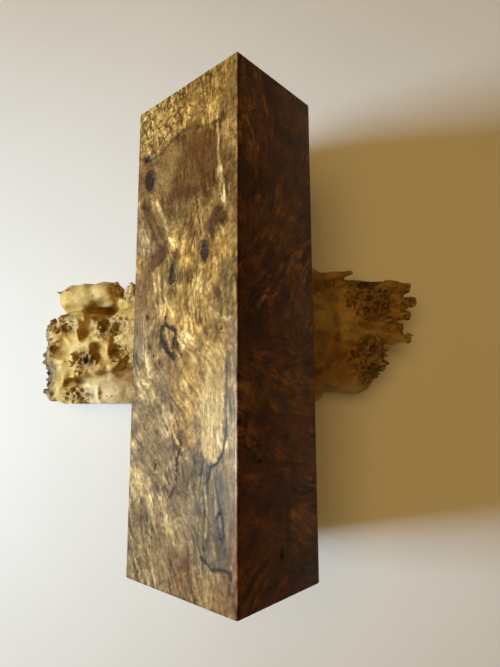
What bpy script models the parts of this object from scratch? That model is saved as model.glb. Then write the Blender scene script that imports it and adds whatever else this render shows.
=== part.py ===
"""Amboyna burl: a squared, polished blank that lies on edge in a raw piece of the same burl.

The blank runs along Y with one long edge uppermost. The raw piece runs along X under its middle. It has a sawn
flat base, one sawn side towards -Y and a sawn groove of 90 degrees that the lower edge of the blank sits in.
Everything else on it is natural growth: lobes, fingers, hollows, knobs and spikes. Metres, +Z up, table at Z 0.
"""

import math
import random

import bmesh
import bpy
from mathutils import Matrix, Vector

# Squared blank
BLANK_LENGTH = 0.130
BLANK_WIDE_FACE = 0.040
BLANK_NARROW_FACE = 0.030
BLANK_TILT = math.radians(45.0)
ARRIS_ROUND = 0.0004

# Raw stand
GROOVE_FLOOR = 0.010
SEAT_GAP = 0.0003
STAND_HALF_LENGTH = 0.060
SAWN_SIDE_Y = -0.0201
SAW_SPAN = 0.3
VOXEL = 0.0007
STAND_FACES = 6600
GRAIN_SWELL = 0.0011
GRAIN_SWELL_SIZE = 0.0075
RAY_START = 0.05
SEED = 2217

# Centre of the blank's section, from the floor of the groove
HALF_DIAGONAL_X = (BLANK_WIDE_FACE - BLANK_NARROW_FACE) / 2.0 * math.sin(BLANK_TILT)
HALF_DIAGONAL_Z = (BLANK_WIDE_FACE + BLANK_NARROW_FACE) / 2.0 * math.cos(BLANK_TILT)
BLANK_CENTRE = Vector((-HALF_DIAGONAL_X, 0.0, GROOVE_FLOOR + HALF_DIAGONAL_Z))

# Bark pockets in the wide face: place across it from the lower edge, place along it from the +Y end, and radii
POCKET_DEPTH = 0.0005
POCKET_SIDES = 14
POCKET_RINGS = 9
BARK_POCKETS = (
    ((0.0288, 0.0483), (0.0010, 0.0022)),
    ((0.0164, 0.0520), (0.0009, 0.0025)),
    ((0.0057, 0.0230), (0.0014, 0.0022)),
)

# Growth of the stand: centre, radii, turn about Z in degrees
LOBES = (
    ((-0.012, -0.003, 0.008), (0.021, 0.0165, 0.019), 0),
    ((0.010, 0.000, 0.009), (0.020, 0.0170, 0.021), 12),
    ((0.000, 0.0095, 0.006), (0.026, 0.0080, 0.015), 6),
    ((0.003, -0.0135, 0.007), (0.030, 0.0085, 0.017), 0),
    ((-0.026, 0.001, 0.010), (0.013, 0.0140, 0.0135), 0),
    ((-0.038, -0.004, 0.008), (0.018, 0.0130, 0.012), 0),
    ((-0.0500, -0.005, 0.008), (0.0092, 0.0095, 0.0085), 8),
    ((-0.0500, -0.0148, 0.007), (0.0082, 0.0060, 0.0080), -10),
    ((-0.034, -0.0160, 0.008), (0.0150, 0.0070, 0.0105), 0),
    ((-0.017, -0.0150, 0.006), (0.0150, 0.0085, 0.0125), 0),
    ((-0.0545, 0.0015, 0.008), (0.0048, 0.0048, 0.0080), 0),
    ((-0.0470, 0.0045, 0.009), (0.0080, 0.0060, 0.0095), 20),
    ((0.024, 0.003, 0.009), (0.015, 0.0160, 0.014), 0),
    ((0.034, 0.005, 0.008), (0.017, 0.0145, 0.0120), 0),
    ((0.045, 0.007, 0.009), (0.0100, 0.0105, 0.0085), 0),
    ((0.0330, -0.0090, 0.007), (0.0100, 0.0075, 0.0100), 0),
    ((0.0400, -0.0085, 0.008), (0.0085, 0.0090, 0.0090), -8),
    ((0.0450, -0.0050, 0.009), (0.0058, 0.0065, 0.0070), 0),
    ((0.026, -0.0130, 0.006), (0.0048, 0.0072, 0.0100), 20),
    ((0.0275, 0.0175, 0.011), (0.0040, 0.0052, 0.0060), 0),
    ((0.042, 0.0155, 0.010), (0.0105, 0.0038, 0.0060), -3),
    ((0.0530, 0.0164, 0.013), (0.0066, 0.0032, 0.0042), -8),
    ((-0.0330, 0.0105, 0.006), (0.0070, 0.0060, 0.0085), 0),
)

# Long smooth lobe along the far side of the left arm
FAR_LOG = (
    ((-0.0495, 0.0127, 0.0120), (0.0050, 0.0045, 0.0052), 0),
    ((-0.0450, 0.0133, 0.0128), (0.0090, 0.0042, 0.0050), 4),
    ((-0.0395, 0.0142, 0.0138), (0.0060, 0.0040, 0.0050), 6),
    ((-0.0450, 0.0090, 0.0080), (0.0060, 0.0055, 0.0070), 0),
)

# Fingers that reach out past the right arm, the splinter behind them, and small hooks: root, tip, root radius
FINGERS = (
    ((0.0540, 0.0172, 0.0135), (0.0602, 0.0178, 0.0145), 0.0017),
    ((0.0540, 0.0158, 0.0125), (0.0600, 0.0160, 0.0135), 0.0015),
    ((0.0460, 0.0116, 0.0130), (0.0612, 0.0124, 0.0150), 0.0033),
    ((0.0440, 0.0074, 0.0145), (0.0592, 0.0080, 0.0145), 0.0031),
    ((0.0410, 0.0042, 0.0150), (0.0572, 0.0043, 0.0150), 0.0027),
    ((0.0420, 0.0010, 0.0125), (0.0602, 0.0007, 0.0140), 0.0036),
    ((0.0440, -0.0072, 0.0120), (0.0510, -0.0078, 0.0135), 0.0016),
    ((0.0400, -0.0022, 0.0120), (0.0506, -0.0036, 0.0130), 0.0034),
    ((0.0270, 0.0198, 0.0120), (0.0396, 0.0215, 0.0145), 0.0026),
    ((-0.0520, 0.0132, 0.0140), (-0.0556, 0.0148, 0.0150), 0.0012),
    ((-0.0370, 0.0165, 0.0150), (-0.0348, 0.0186, 0.0170), 0.0016),
    ((-0.0325, 0.0105, 0.0150), (-0.0300, 0.0160, 0.0200), 0.0027),
)
FINGER_TIP_SHARE = 0.35

# Folds that stand up from the growth: start, end, radius
RIDGES = (
    ((-0.0510, -0.0122, 0.0145), (-0.0310, -0.0086, 0.0215), 0.0020),
    ((-0.0533, 0.0035, 0.0165), (-0.0490, -0.0012, 0.0190), 0.0011),
    ((-0.0350, -0.0010, 0.0225), (-0.0352, -0.0080, 0.0220), 0.0016),
    ((-0.0405, -0.0150, 0.0165), (-0.0405, -0.0200, 0.0155), 0.0013),
    ((-0.0475, 0.0000, 0.0195), (-0.0470, -0.0090, 0.0190), 0.0018),
    ((-0.0500, -0.0170, 0.0130), (-0.0430, -0.0150, 0.0165), 0.0014),
    ((-0.0495, -0.0195, 0.0130), (-0.0430, -0.0180, 0.0160), 0.0013),
    ((-0.0550, 0.0060, 0.0130), (-0.0400, 0.0075, 0.0195), 0.0022),
    ((0.0260, -0.0040, 0.0205), (0.0370, -0.0065, 0.0185), 0.0014),
    ((0.0340, 0.0095, 0.0190), (0.0480, 0.0105, 0.0160), 0.0024),
    ((0.0330, 0.0040, 0.0195), (0.0480, 0.0030, 0.0155), 0.0022),
    ((0.0370, 0.0150, 0.0160), (0.0500, 0.0170, 0.0145), 0.0024),
    ((0.0380, -0.0020, 0.0180), (0.0470, -0.0050, 0.0150), 0.0020),
    ((0.0280, 0.0100, 0.0215), (0.0380, 0.0150, 0.0170), 0.0020),
)

# Bowls with a thin standing wall: centre of the rim, radii of the hollow, turn about Z in degrees
BOWLS = (
    ((-0.0439, 0.0013, 0.0210), (0.0036, 0.0036, 0.0040), -6),
    ((-0.0390, -0.0056, 0.0215), (0.0027, 0.0034, 0.0040), -10),
    ((-0.0530, -0.0048, 0.0180), (0.0044, 0.0034, 0.0042), 12),
    ((-0.0492, 0.0034, 0.0185), (0.0023, 0.0026, 0.0036), 20),
    ((-0.0380, 0.0032, 0.0222), (0.0025, 0.0025, 0.0036), 25),
    ((-0.0328, 0.0020, 0.0232), (0.0022, 0.0028, 0.0036), 0),
    ((-0.0333, -0.0050, 0.0225), (0.0026, 0.0024, 0.0036), 0),
    ((0.0415, 0.0128, 0.0168), (0.0032, 0.0015, 0.0030), 15),
    ((0.0480, 0.0130, 0.0165), (0.0026, 0.0014, 0.0030), -10),
    ((0.0440, 0.0062, 0.0175), (0.0028, 0.0014, 0.0030), 30),
    ((0.0460, -0.0040, 0.0160), (0.0016, 0.0024, 0.0026), -15),
)
BOWL_WALL = 0.0009
BOWL_ROOT_DEPTH = 0.0070
BOWL_ROOT_SHARE = 1.30

# Plain hollows and clefts between the folds: centre, radii, turn about Z in degrees
HOLLOWS = (
    ((-0.0345, 0.0092, 0.0205), (0.0105, 0.0015, 0.0080), 8),
    ((-0.0420, -0.0132, 0.0190), (0.0100, 0.0012, 0.0040), 9),
    ((-0.0470, -0.0162, 0.0175), (0.0026, 0.0010, 0.0035), 15),
    ((-0.0455, -0.0188, 0.0170), (0.0028, 0.0009, 0.0035), 12),
    ((-0.0575, -0.0090, 0.0130), (0.0026, 0.0012, 0.0060), 10),
    ((0.0345, -0.0225, 0.0100), (0.0060, 0.0062, 0.0200), 0),
    ((0.0550, -0.0016, 0.0080), (0.0056, 0.0010, 0.0120), -6),
    ((0.0605, 0.0170, 0.0140), (0.0034, 0.0005, 0.0060), 0),
    ((0.0370, 0.0196, 0.0170), (0.0090, 0.0012, 0.0050), 0),
    ((0.0590, 0.0144, 0.0140), (0.0052, 0.0008, 0.0100), 4),
    ((0.0575, 0.0100, 0.0150), (0.0050, 0.0007, 0.0080), 4),
    ((0.0560, 0.0060, 0.0150), (0.0056, 0.0007, 0.0080), 2),
    ((0.0550, 0.0026, 0.0150), (0.0052, 0.0006, 0.0080), -2),
    ((0.0500, 0.0190, 0.0160), (0.0012, 0.0016, 0.0060), -20),
    ((0.0400, 0.0005, 0.0215), (0.0050, 0.0012, 0.0040), 20),
    ((0.0310, 0.0050, 0.0235), (0.0060, 0.0010, 0.0030), 40),
)

# Knobs scattered over the lobes, but not on the smooth growth: centre and radii across X and Y
SMOOTH_GROWTH = (
    ((0.0290, 0.0070), (0.0090, 0.0125)),
    ((-0.0250, -0.0155), (0.0100, 0.0060)),
    ((-0.0440, 0.0135), (0.0130, 0.0050)),
    ((-0.0500, -0.0120), (0.0050, 0.0060)),
    ((0.0560, 0.0080), (0.0070, 0.0120)),
    ((0.0300, -0.0150), (0.0070, 0.0060)),
)
KNOB_COUNT = 150
KNOB_RADIUS = (0.0014, 0.0030)
KNOB_SINK = 0.25

# Patches of short spikes: centre, radii of the patch, count, outward lean, length and root radius of a spike
SPIKE_PATCHES = (
    ((-0.0437, -0.0072, 0.0100), (0.0040, 0.0032), 14, (-0.3, -0.1, 1.0), 0.0020, 0.0007),
    ((-0.0560, 0.0024, 0.0080), (0.0032, 0.0036), 12, (-0.6, 0.3, 1.0), 0.0020, 0.0010),
    ((-0.0560, -0.0060, 0.0100), (0.0020, 0.0040), 10, (-1.0, 0.1, 0.5), 0.0022, 0.0010),
    ((-0.0560, -0.0135, 0.0080), (0.0020, 0.0040), 14, (-1.0, -0.2, 0.4), 0.0034, 0.0009),
    ((0.0440, 0.0100, 0.0100), (0.0055, 0.0065), 26, (0.6, 0.2, 1.0), 0.0026, 0.0008),
    ((0.0440, -0.0070, 0.0080), (0.0045, 0.0060), 22, (0.9, -0.1, 1.0), 0.0026, 0.0008),
    ((0.0585, 0.0115, 0.0140), (0.0020, 0.0020), 5, (1.0, 0.1, 0.3), 0.0018, 0.0006),
    ((0.0580, 0.0010, 0.0135), (0.0020, 0.0018), 5, (1.0, -0.1, 0.3), 0.0018, 0.0006),
)
SPIKE_SIDES = 5

# Colours of the polished and of the raw wood
POLISHED_COLOUR = (0.30, 0.17, 0.055, 1.0)
RAW_COLOUR = (0.52, 0.31, 0.095, 1.0)


def clear_scene():
    """Remove every object of the scene that is open."""
    for thing in list(bpy.data.objects):
        bpy.data.objects.remove(thing, do_unlink=True)


def new_collection(name):
    """Return a new collection that hangs under the scene's own."""
    collection = bpy.data.collections.new(name)
    bpy.context.scene.collection.children.link(collection)
    return collection


def wood(name, colour, roughness):
    """Return a wood material of one colour."""
    material = bpy.data.materials.new(name)
    material.use_nodes = True
    shader = material.node_tree.nodes["Principled BSDF"]
    shader.inputs["Base Color"].default_value = colour
    shader.inputs["Roughness"].default_value = roughness
    shader.inputs["Metallic"].default_value = 0.0
    return material


def make_object(name, shape, collection):
    """Return an object in the collection that holds the bmesh, which is freed."""
    mesh = bpy.data.meshes.new(name)
    shape.to_mesh(mesh)
    shape.free()
    thing = bpy.data.objects.new(name, mesh)
    collection.objects.link(thing)
    return thing


def make_cutter(name, shape, cutters):
    """Return an object that only cuts."""
    cutter = make_object(name, shape, cutters)
    cutter.hide_render = True
    cutter.display_type = "WIRE"
    return cutter


def placed(centre, turn_degrees=0.0):
    """Return the matrix of a place and a turn about Z."""
    return Matrix.Translation(centre) @ Matrix.Rotation(math.radians(turn_degrees), 4, "Z")


def add_ellipsoid(shape, centre, radii, turn_degrees=0.0, subdivisions=3):
    """Add a closed ellipsoid to the bmesh."""
    matrix = placed(centre, turn_degrees) @ Matrix.Diagonal((*radii, 1.0))
    bmesh.ops.create_icosphere(shape, subdivisions=subdivisions, radius=1.0, matrix=matrix)


def add_box(shape, centre, size, rotation=None):
    """Add a closed box to the bmesh."""
    turn = rotation if rotation is not None else Matrix.Identity(4)
    matrix = Matrix.Translation(centre) @ turn @ Matrix.Diagonal((*size, 1.0))
    bmesh.ops.create_cube(shape, size=1.0, matrix=matrix)


def add_horn(shape, root, tip, radius, sides=10, tip_share=0.22):
    """Add a closed cone from a round root to a blunt tip."""
    axis = Vector(tip) - Vector(root)
    turn = axis.to_track_quat("Z", "Y").to_matrix().to_4x4()
    matrix = Matrix.Translation(Vector(root) + axis / 2.0) @ turn
    bmesh.ops.create_cone(
        shape,
        cap_ends=True,
        segments=sides,
        radius1=radius,
        radius2=radius * tip_share,
        depth=axis.length,
        matrix=matrix,
    )


def add_modifier_and_apply(thing, kind, **settings):
    """Put one modifier on the object and make its result the object's mesh."""
    modifier = thing.modifiers.new(kind.title(), kind)
    for name, value in settings.items():
        setattr(modifier, name, value)
    evaluated = thing.evaluated_get(bpy.context.evaluated_depsgraph_get())
    mesh = bpy.data.meshes.new_from_object(evaluated)
    old = thing.data
    thing.modifiers.clear()
    thing.data = mesh
    bpy.data.meshes.remove(old)


def blank_rotation():
    """Return the blank's turn about its length."""
    return Matrix.Rotation(BLANK_TILT, 4, "Y")


def wide_face_point(across, along):
    """Return the point of the wide face at a place from its lower edge and from the +Y end."""
    local = Vector((-BLANK_NARROW_FACE / 2.0, BLANK_LENGTH / 2.0 - along, across - BLANK_WIDE_FACE / 2.0))
    return BLANK_CENTRE + blank_rotation() @ local


def build_blank(parts, cutters):
    """Build the squared blank with softened arrises and shallow bark pockets."""
    shape = bmesh.new()
    size = (BLANK_NARROW_FACE, BLANK_LENGTH, BLANK_WIDE_FACE)
    add_box(shape, (0.0, 0.0, 0.0), size)
    blank = make_object("burl_block", shape, parts)
    blank.location = BLANK_CENTRE
    blank.rotation_euler = (0.0, BLANK_TILT, 0.0)
    bevel = blank.modifiers.new("Arrises", "BEVEL")
    bevel.width = ARRIS_ROUND
    bevel.segments = 2

    pockets = bmesh.new()
    for (across, along), (half_width, half_length) in BARK_POCKETS:
        turn = blank_rotation()
        size = (POCKET_DEPTH * 2.0, half_length * 2.0, half_width * 2.0)
        matrix = Matrix.Translation(wide_face_point(across, along)) @ turn @ Matrix.Diagonal((*size, 1.0))
        bmesh.ops.create_uvsphere(
            pockets, u_segments=POCKET_SIDES, v_segments=POCKET_RINGS, radius=0.5, matrix=matrix
        )
    cut = blank.modifiers.new("Bark pockets", "BOOLEAN")
    cut.operation = "DIFFERENCE"
    cut.object = make_cutter("bark_pockets", pockets, cutters)
    blank.data.materials.append(wood("polished_burl", POLISHED_COLOUR, 0.35))
    return blank


def on_smooth_growth(place):
    """Tell whether a place lies over growth that has no knobs."""
    for (x, y), (radius_x, radius_y) in SMOOTH_GROWTH:
        if ((place.x - x) / radius_x) ** 2 + ((place.y - y) / radius_y) ** 2 < 1.0:
            return True
    return False


def add_knobs(shape, draw):
    """Scatter knobs over the upper side of the lobes, with their roots sunk in."""
    for _ in range(KNOB_COUNT):
        centre, radii, turn = draw.choice(LOBES)
        height = draw.uniform(-0.1, 0.95)
        angle = draw.uniform(0.0, math.tau)
        reach = math.sqrt(1.0 - height * height)
        direction = Vector((reach * math.cos(angle), reach * math.sin(angle), height))
        place = placed(centre, turn) @ Vector(radius * share for radius, share in zip(radii, direction))
        size = draw.uniform(*KNOB_RADIUS)
        knob = [size * draw.uniform(0.8, 1.3) for _ in range(3)]
        knob_turn = draw.uniform(0.0, 180.0)
        if not on_smooth_growth(place):
            add_ellipsoid(shape, place - direction * size * KNOB_SINK, knob, knob_turn, subdivisions=2)


def add_bowl_wall(shape, centre, radii, turn):
    """Add the solid that a bowl is hollowed out of, wider at its root."""
    place = Vector(centre) - Vector((0.0, 0.0, BOWL_ROOT_DEPTH / 2.0))
    size = (radii[0] + BOWL_WALL, radii[1] + BOWL_WALL, BOWL_ROOT_DEPTH, 1.0)
    bmesh.ops.create_cone(
        shape,
        cap_ends=True,
        segments=24,
        radius1=BOWL_ROOT_SHARE,
        radius2=1.0,
        depth=1.0,
        matrix=placed(place, turn) @ Matrix.Diagonal(size),
    )


def grow_stand(parts, cutters):
    """Return the raw growth of the stand as one closed mesh, before it is sawn."""
    shape = bmesh.new()
    for centre, radii, turn in LOBES + FAR_LOG:
        add_ellipsoid(shape, centre, radii, turn)
    for root, tip, radius in FINGERS:
        add_horn(shape, root, tip, radius, tip_share=FINGER_TIP_SHARE)
        add_ellipsoid(shape, root, (radius, radius, radius))
    for start, end, radius in RIDGES:
        add_horn(shape, start, end, radius, tip_share=0.8)
    for centre, radii, turn in BOWLS:
        add_bowl_wall(shape, centre, radii, turn)
    add_knobs(shape, random.Random(SEED))
    stand = make_object("burl_stand", shape, parts)
    add_modifier_and_apply(stand, "REMESH", mode="VOXEL", voxel_size=VOXEL)
    hollow_out(stand, cutters)
    swell = bpy.data.textures.new("swell", "CLOUDS")
    swell.noise_scale = GRAIN_SWELL_SIZE
    swell.noise_depth = 2
    add_modifier_and_apply(stand, "DISPLACE", texture=swell, strength=GRAIN_SWELL, mid_level=0.5,
                           texture_coords="LOCAL")
    add_modifier_and_apply(stand, "SMOOTH", factor=0.5, iterations=1)
    ratio = STAND_FACES / (2.0 * len(stand.data.polygons))
    add_modifier_and_apply(stand, "DECIMATE", ratio=ratio)
    return stand


def hollow_out(stand, cutters):
    """Cut the bowls, hollows and clefts and soften their rims."""
    shape = bmesh.new()
    for centre, radii, turn in BOWLS + HOLLOWS:
        add_ellipsoid(shape, centre, radii, turn)
    cutter = make_cutter("hollows", shape, cutters)
    add_modifier_and_apply(cutter, "REMESH", mode="VOXEL", voxel_size=VOXEL)
    add_modifier_and_apply(stand, "BOOLEAN", operation="DIFFERENCE", object=cutter, solver="EXACT")
    add_modifier_and_apply(stand, "REMESH", mode="VOXEL", voxel_size=VOXEL)


def surface_point(thing, place, direction):
    """Return where a ray from outside, along minus the direction, meets the object."""
    start = Vector(place) + direction * RAY_START
    hit, point, _, _ = thing.ray_cast(start, -direction)
    return point if hit else None


def add_spikes(stand, scratch):
    """Fuse short spikes to the stand, in patches, with their roots sunk in."""
    draw = random.Random(SEED)
    for centre, (half_x, half_y), count, lean, length, radius in SPIKE_PATCHES:
        direction = Vector(lean).normalized()
        side = direction.cross(Vector((0.0, 1.0, 0.0))).normalized()
        other = direction.cross(side)
        for _ in range(count):
            angle = draw.uniform(0.0, math.tau)
            reach = math.sqrt(draw.uniform(0.0, 1.0))
            across = side * (half_x * reach * math.cos(angle))
            along = other * (half_y * reach * math.sin(angle))
            point = surface_point(stand, Vector(centre) + across + along, direction)
            spread = Vector((draw.uniform(-0.6, 0.6), draw.uniform(-0.6, 0.6), draw.uniform(-0.3, 0.5)))
            size = draw.uniform(0.6, 1.3)
            if point is None:
                continue
            pointing = (direction + spread).normalized()
            shape = bmesh.new()
            root = point - pointing * length * 0.55
            tip = point + pointing * length * size * 0.75
            add_horn(shape, root, tip, radius * size * 1.25, sides=SPIKE_SIDES, tip_share=0.15)
            make_object("spike", shape, scratch)
    add_modifier_and_apply(stand, "BOOLEAN", operation="UNION", operand_type="COLLECTION", collection=scratch,
                           solver="MANIFOLD")
    for spike in list(scratch.objects):
        bpy.data.objects.remove(spike, do_unlink=True)
    bpy.data.collections.remove(scratch)


def fit_length(stand):
    """Stretch the growth along X so that its two ends lie equally far from the ridge of the blank."""
    low = min(vertex.co.x for vertex in stand.data.vertices)
    high = max(vertex.co.x for vertex in stand.data.vertices)
    scale = 2.0 * STAND_HALF_LENGTH / (high - low)
    for vertex in stand.data.vertices:
        vertex.co.x = (vertex.co.x - low) * scale - STAND_HALF_LENGTH


def saw_stand(stand, cutters):
    """Saw the base, the near side and the groove."""
    base = bmesh.new()
    add_box(base, (0.0, 0.0, -SAW_SPAN / 2.0), (SAW_SPAN, SAW_SPAN, SAW_SPAN))
    side = bmesh.new()
    add_box(side, (0.0, SAWN_SIDE_Y - SAW_SPAN / 2.0, 0.0), (SAW_SPAN, SAW_SPAN, SAW_SPAN))
    groove = bmesh.new()
    groove_size = (BLANK_NARROW_FACE + 2.0 * SEAT_GAP, SAW_SPAN, BLANK_WIDE_FACE + 2.0 * SEAT_GAP)
    add_box(groove, BLANK_CENTRE, groove_size, blank_rotation())
    for name, shape in (("base_saw", base), ("side_saw", side), ("groove_saw", groove)):
        cutter = make_cutter(name, shape, cutters)
        add_modifier_and_apply(stand, "BOOLEAN", operation="DIFFERENCE", object=cutter, solver="EXACT")


def build_stand(parts, cutters):
    """Build the raw piece that holds the blank."""
    stand = grow_stand(parts, cutters)
    add_spikes(stand, new_collection("spikes"))
    fit_length(stand)
    saw_stand(stand, cutters)
    stand.data.materials.clear()
    stand.data.materials.append(wood("raw_burl", RAW_COLOUR, 0.75))
    return stand


def main():
    """Build the blank and its stand."""
    clear_scene()
    parts = new_collection("amboyna_burl")
    cutters = new_collection("cutters")
    build_blank(parts, cutters)
    build_stand(parts, cutters)


main()
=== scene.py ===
"""Looks of an amboyna burl: a polished blank that lies on edge in a raw piece of the same burl.

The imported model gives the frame. The node burl_block is replaced by a blank with a figured surface, and the node
burl_stand by a finer growth of the same lobes, bowls, folds and spikes. Places on a face of the blank are in
millimetres, across the face and down it from its +Y end. The stand's tables are in millimetres and degrees, in the
shared frame.
"""

import logging
import math
import random
from dataclasses import dataclass, field
from enum import Enum
from typing import Iterable

import bmesh
import bpy
import numpy as np
from mathutils import Matrix, Vector, noise


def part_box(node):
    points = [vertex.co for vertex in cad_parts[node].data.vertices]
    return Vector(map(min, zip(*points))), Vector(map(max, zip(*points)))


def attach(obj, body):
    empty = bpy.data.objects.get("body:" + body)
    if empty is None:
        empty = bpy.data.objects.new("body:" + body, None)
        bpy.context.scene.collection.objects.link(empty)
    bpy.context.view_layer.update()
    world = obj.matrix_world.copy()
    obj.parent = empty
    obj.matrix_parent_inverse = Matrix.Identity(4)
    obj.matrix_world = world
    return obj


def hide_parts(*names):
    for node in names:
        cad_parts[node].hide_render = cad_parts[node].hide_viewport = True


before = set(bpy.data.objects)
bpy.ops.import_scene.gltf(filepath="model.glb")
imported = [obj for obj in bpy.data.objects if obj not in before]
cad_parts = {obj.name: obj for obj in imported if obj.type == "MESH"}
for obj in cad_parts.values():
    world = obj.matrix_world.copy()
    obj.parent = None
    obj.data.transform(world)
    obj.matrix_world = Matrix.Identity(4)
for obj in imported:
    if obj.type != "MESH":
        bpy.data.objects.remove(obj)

LOG = logging.getLogger("amboyna_burl")
MM = 0.001

Array = np.ndarray
Piece = bpy.types.Object
Material = bpy.types.Material
Tree = bpy.types.NodeTree
Node = bpy.types.Node
Socket = bpy.types.NodeSocket
Colour = tuple[float, float, float]
Point2 = tuple[float, float]
Point3 = tuple[float, float, float]


class Tone(Enum):
    """Colours of the wood, as linear red, green and blue."""

    CREAM = (0.43, 0.32, 0.145)
    PALE_GOLD = (0.36, 0.235, 0.075)
    GOLD = (0.275, 0.168, 0.047)
    TAN = (0.195, 0.120, 0.040)
    OLIVE = (0.140, 0.092, 0.030)
    BROWN = (0.118, 0.060, 0.019)
    RUST = (0.088, 0.037, 0.010)
    UMBER = (0.058, 0.026, 0.008)
    GREY_TAN = (0.185, 0.128, 0.062)
    ASH = (0.100, 0.083, 0.054)
    SLATE = (0.060, 0.054, 0.042)
    ROSE = (0.115, 0.055, 0.026)
    PLUM = (0.045, 0.023, 0.016)
    INK = (0.012, 0.009, 0.007)
    STRAW = (0.50, 0.355, 0.115)
    HONEY = (0.42, 0.255, 0.040)
    AMBER = (0.24, 0.120, 0.011)
    CHALK = (0.56, 0.44, 0.240)
    BARK = (0.060, 0.036, 0.020)


class Slot(Enum):
    """Material slots of the record."""

    POLISHED = "polished_burl"
    RAW = "raw_burl"


class Face(Enum):
    """Faces of the blank: normal axis and sign, across axis and sign, down axis and sign."""

    WIDE_TOP = (0, -1, 2, 1, 1, -1)
    NARROW_TOP = (2, 1, 0, 1, 1, -1)
    WIDE_UNDER = (0, 1, 2, -1, 1, -1)
    NARROW_UNDER = (2, -1, 0, -1, 1, -1)
    FAR_END = (1, 1, 0, 1, 2, -1)
    NEAR_END = (1, -1, 0, 1, 2, -1)


NOISE_PRIMES = np.array((73856093, 19349663, 83492791))


def lattice_noise(points: Array, seed: int) -> Array:
    """Make smooth random values that change over one unit.

    Args:
        points: Places, one row of three numbers each.
        seed: Number that picks one field of values.

    Returns:
        One value between -1 and 1 for each place.
    """
    cell = np.floor(points).astype(np.int64)
    part = points - cell
    ease = part * part * (3.0 - 2.0 * part)
    total = np.zeros(len(points))
    for corner in np.ndindex(2, 2, 2):
        key = (cell + np.array(corner)) * NOISE_PRIMES
        mixed = key[:, 0] ^ key[:, 1] ^ key[:, 2] ^ (seed * 40503)
        mixed = ((mixed ^ (mixed >> 15)) * 2246822519) & 0xFFFFFFFF
        mixed = ((mixed ^ (mixed >> 13)) * 3266489917) & 0xFFFFFFFF
        value = (mixed ^ (mixed >> 16)) / 0x7FFFFFFF - 1.0
        total += value * np.prod(np.where(corner, ease, 1.0 - ease), axis=1)
    return total


def fractal_noise(points: Array, size: float, octaves: int = 3, seed: int = 0) -> Array:
    """Add finer and finer smooth noise.

    Args:
        points: Places, one row of three numbers each.
        size: Length over which the coarsest part changes.
        octaves: How many parts are added, each half as large as the one before.
        seed: Number that picks one field of values.

    Returns:
        One value for each place, mostly between -1 and 1.
    """
    total = np.zeros(len(points))
    share = 1.0
    for octave in range(octaves):
        total += share * lattice_noise(points * (2.0**octave / size), seed + 17 * octave)
        share *= 0.5
    return total


def noise_pair(points: Array, size: float, octaves: int, seed: int) -> Array:
    """Return two fields of noise, with this seed and the next one, as two columns."""
    return np.column_stack([fractal_noise(points, size, octaves, seed + number) for number in range(2)])


def ease_between(low: float, high: float, value: Array) -> Array:
    """Return 0 below low, 1 above high and a smooth rise between them."""
    part = np.clip((value - low) / (high - low), 0.0, 1.0)
    return part * part * (3.0 - 2.0 * part)


@dataclass(frozen=True)
class Spot:
    """Soft oval on a face, with its long axis tilted towards +across as it goes down."""

    x: float
    y: float
    rx: float
    ry: float
    turn: float = 0.0
    strength: float = 0.8
    soft: float = 0.33

    def reach(self, places: Array) -> Array:
        """Return the distance from the centre in radii, 1 on the outline."""
        tilt = math.radians(self.turn)
        dx = places[:, 0] - self.x
        dy = places[:, 1] - self.y
        across = (dx * math.cos(tilt) - dy * math.sin(tilt)) / self.rx
        along = (dx * math.sin(tilt) + dy * math.cos(tilt)) / self.ry
        return np.hypot(across, along)

    def mask(self, places: Array) -> Array:
        """Return the strength inside the oval, fading to 0 outside it."""
        return self.strength * (1.0 - ease_between(1.0 - self.soft, 1.0 + self.soft, self.reach(places)))

    def distance(self, places: Array) -> Array:
        """Return about the distance from the outline in millimetres, negative inside."""
        return (self.reach(places) - 1.0) * math.sqrt(self.rx * self.ry)


@dataclass(frozen=True)
class Line:
    """Stroke through points of a face."""

    path: tuple[Point2, ...]
    width: float
    strength: float = 0.8

    def spread(self, places: Array) -> Array:
        """Return the distance from the stroke's middle in millimetres."""
        best = np.full(len(places), np.inf)
        for start, end in zip(self.path, self.path[1:]):
            run = np.array(end) - np.array(start)
            offset = places - np.array(start)
            share = np.clip(offset @ run / (run @ run), 0.0, 1.0)
            best = np.minimum(best, np.linalg.norm(offset - share[:, None] * run, axis=1))
        return best

    def mask(self, places: Array) -> Array:
        """Return the strength along the stroke, fading to 0 at its width."""
        return self.strength * (1.0 - ease_between(0.25 * self.width, self.width, self.spread(places)))

    def distance(self, places: Array) -> Array:
        """Return the distance from the stroke's edge in millimetres, negative inside."""
        return self.spread(places) - self.width / 2.0


@dataclass(frozen=True)
class Ring:
    """Outline of an oval, drawn with a width."""

    oval: Spot
    width: float

    def distance(self, places: Array) -> Array:
        """Return the distance from the ring's edge in millimetres, negative inside."""
        return np.abs(self.oval.distance(places)) - self.width / 2.0


Mark = Spot | Line | Ring
Table = tuple[tuple, ...]


def read_mark(words: list[str]) -> Mark:
    """Read an oval, a stroke or a ring from the words of a row.

    Args:
        words: The numbers of an oval; or the points of a stroke, each with a comma, before its width and strength;
            or the word ring, the numbers of its oval and its width.

    Returns:
        The mark.
    """
    points = tuple(tuple(float(part) for part in word.split(",")) for word in words if "," in word)
    numbers = [float(word) for word in words if "," not in word and word != "ring"]
    if points:
        return Line(points, *numbers)
    return Ring(Spot(*numbers[:-1]), numbers[-1]) if "ring" in words else Spot(*numbers)


def read_marks(text: str) -> tuple[Mark, ...]:
    """Read marks that are parted by semicolons."""
    return tuple(read_mark(row.split()) for row in text.split(";"))


def read_tones(text: str) -> tuple[tuple[Tone, Mark], ...]:
    """Read marks that are parted by semicolons, each with the name of its tone before it."""
    rows = [row.split() for row in text.split(";")]
    return tuple((Tone[row[0]], read_mark(row[1:])) for row in rows)


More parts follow.
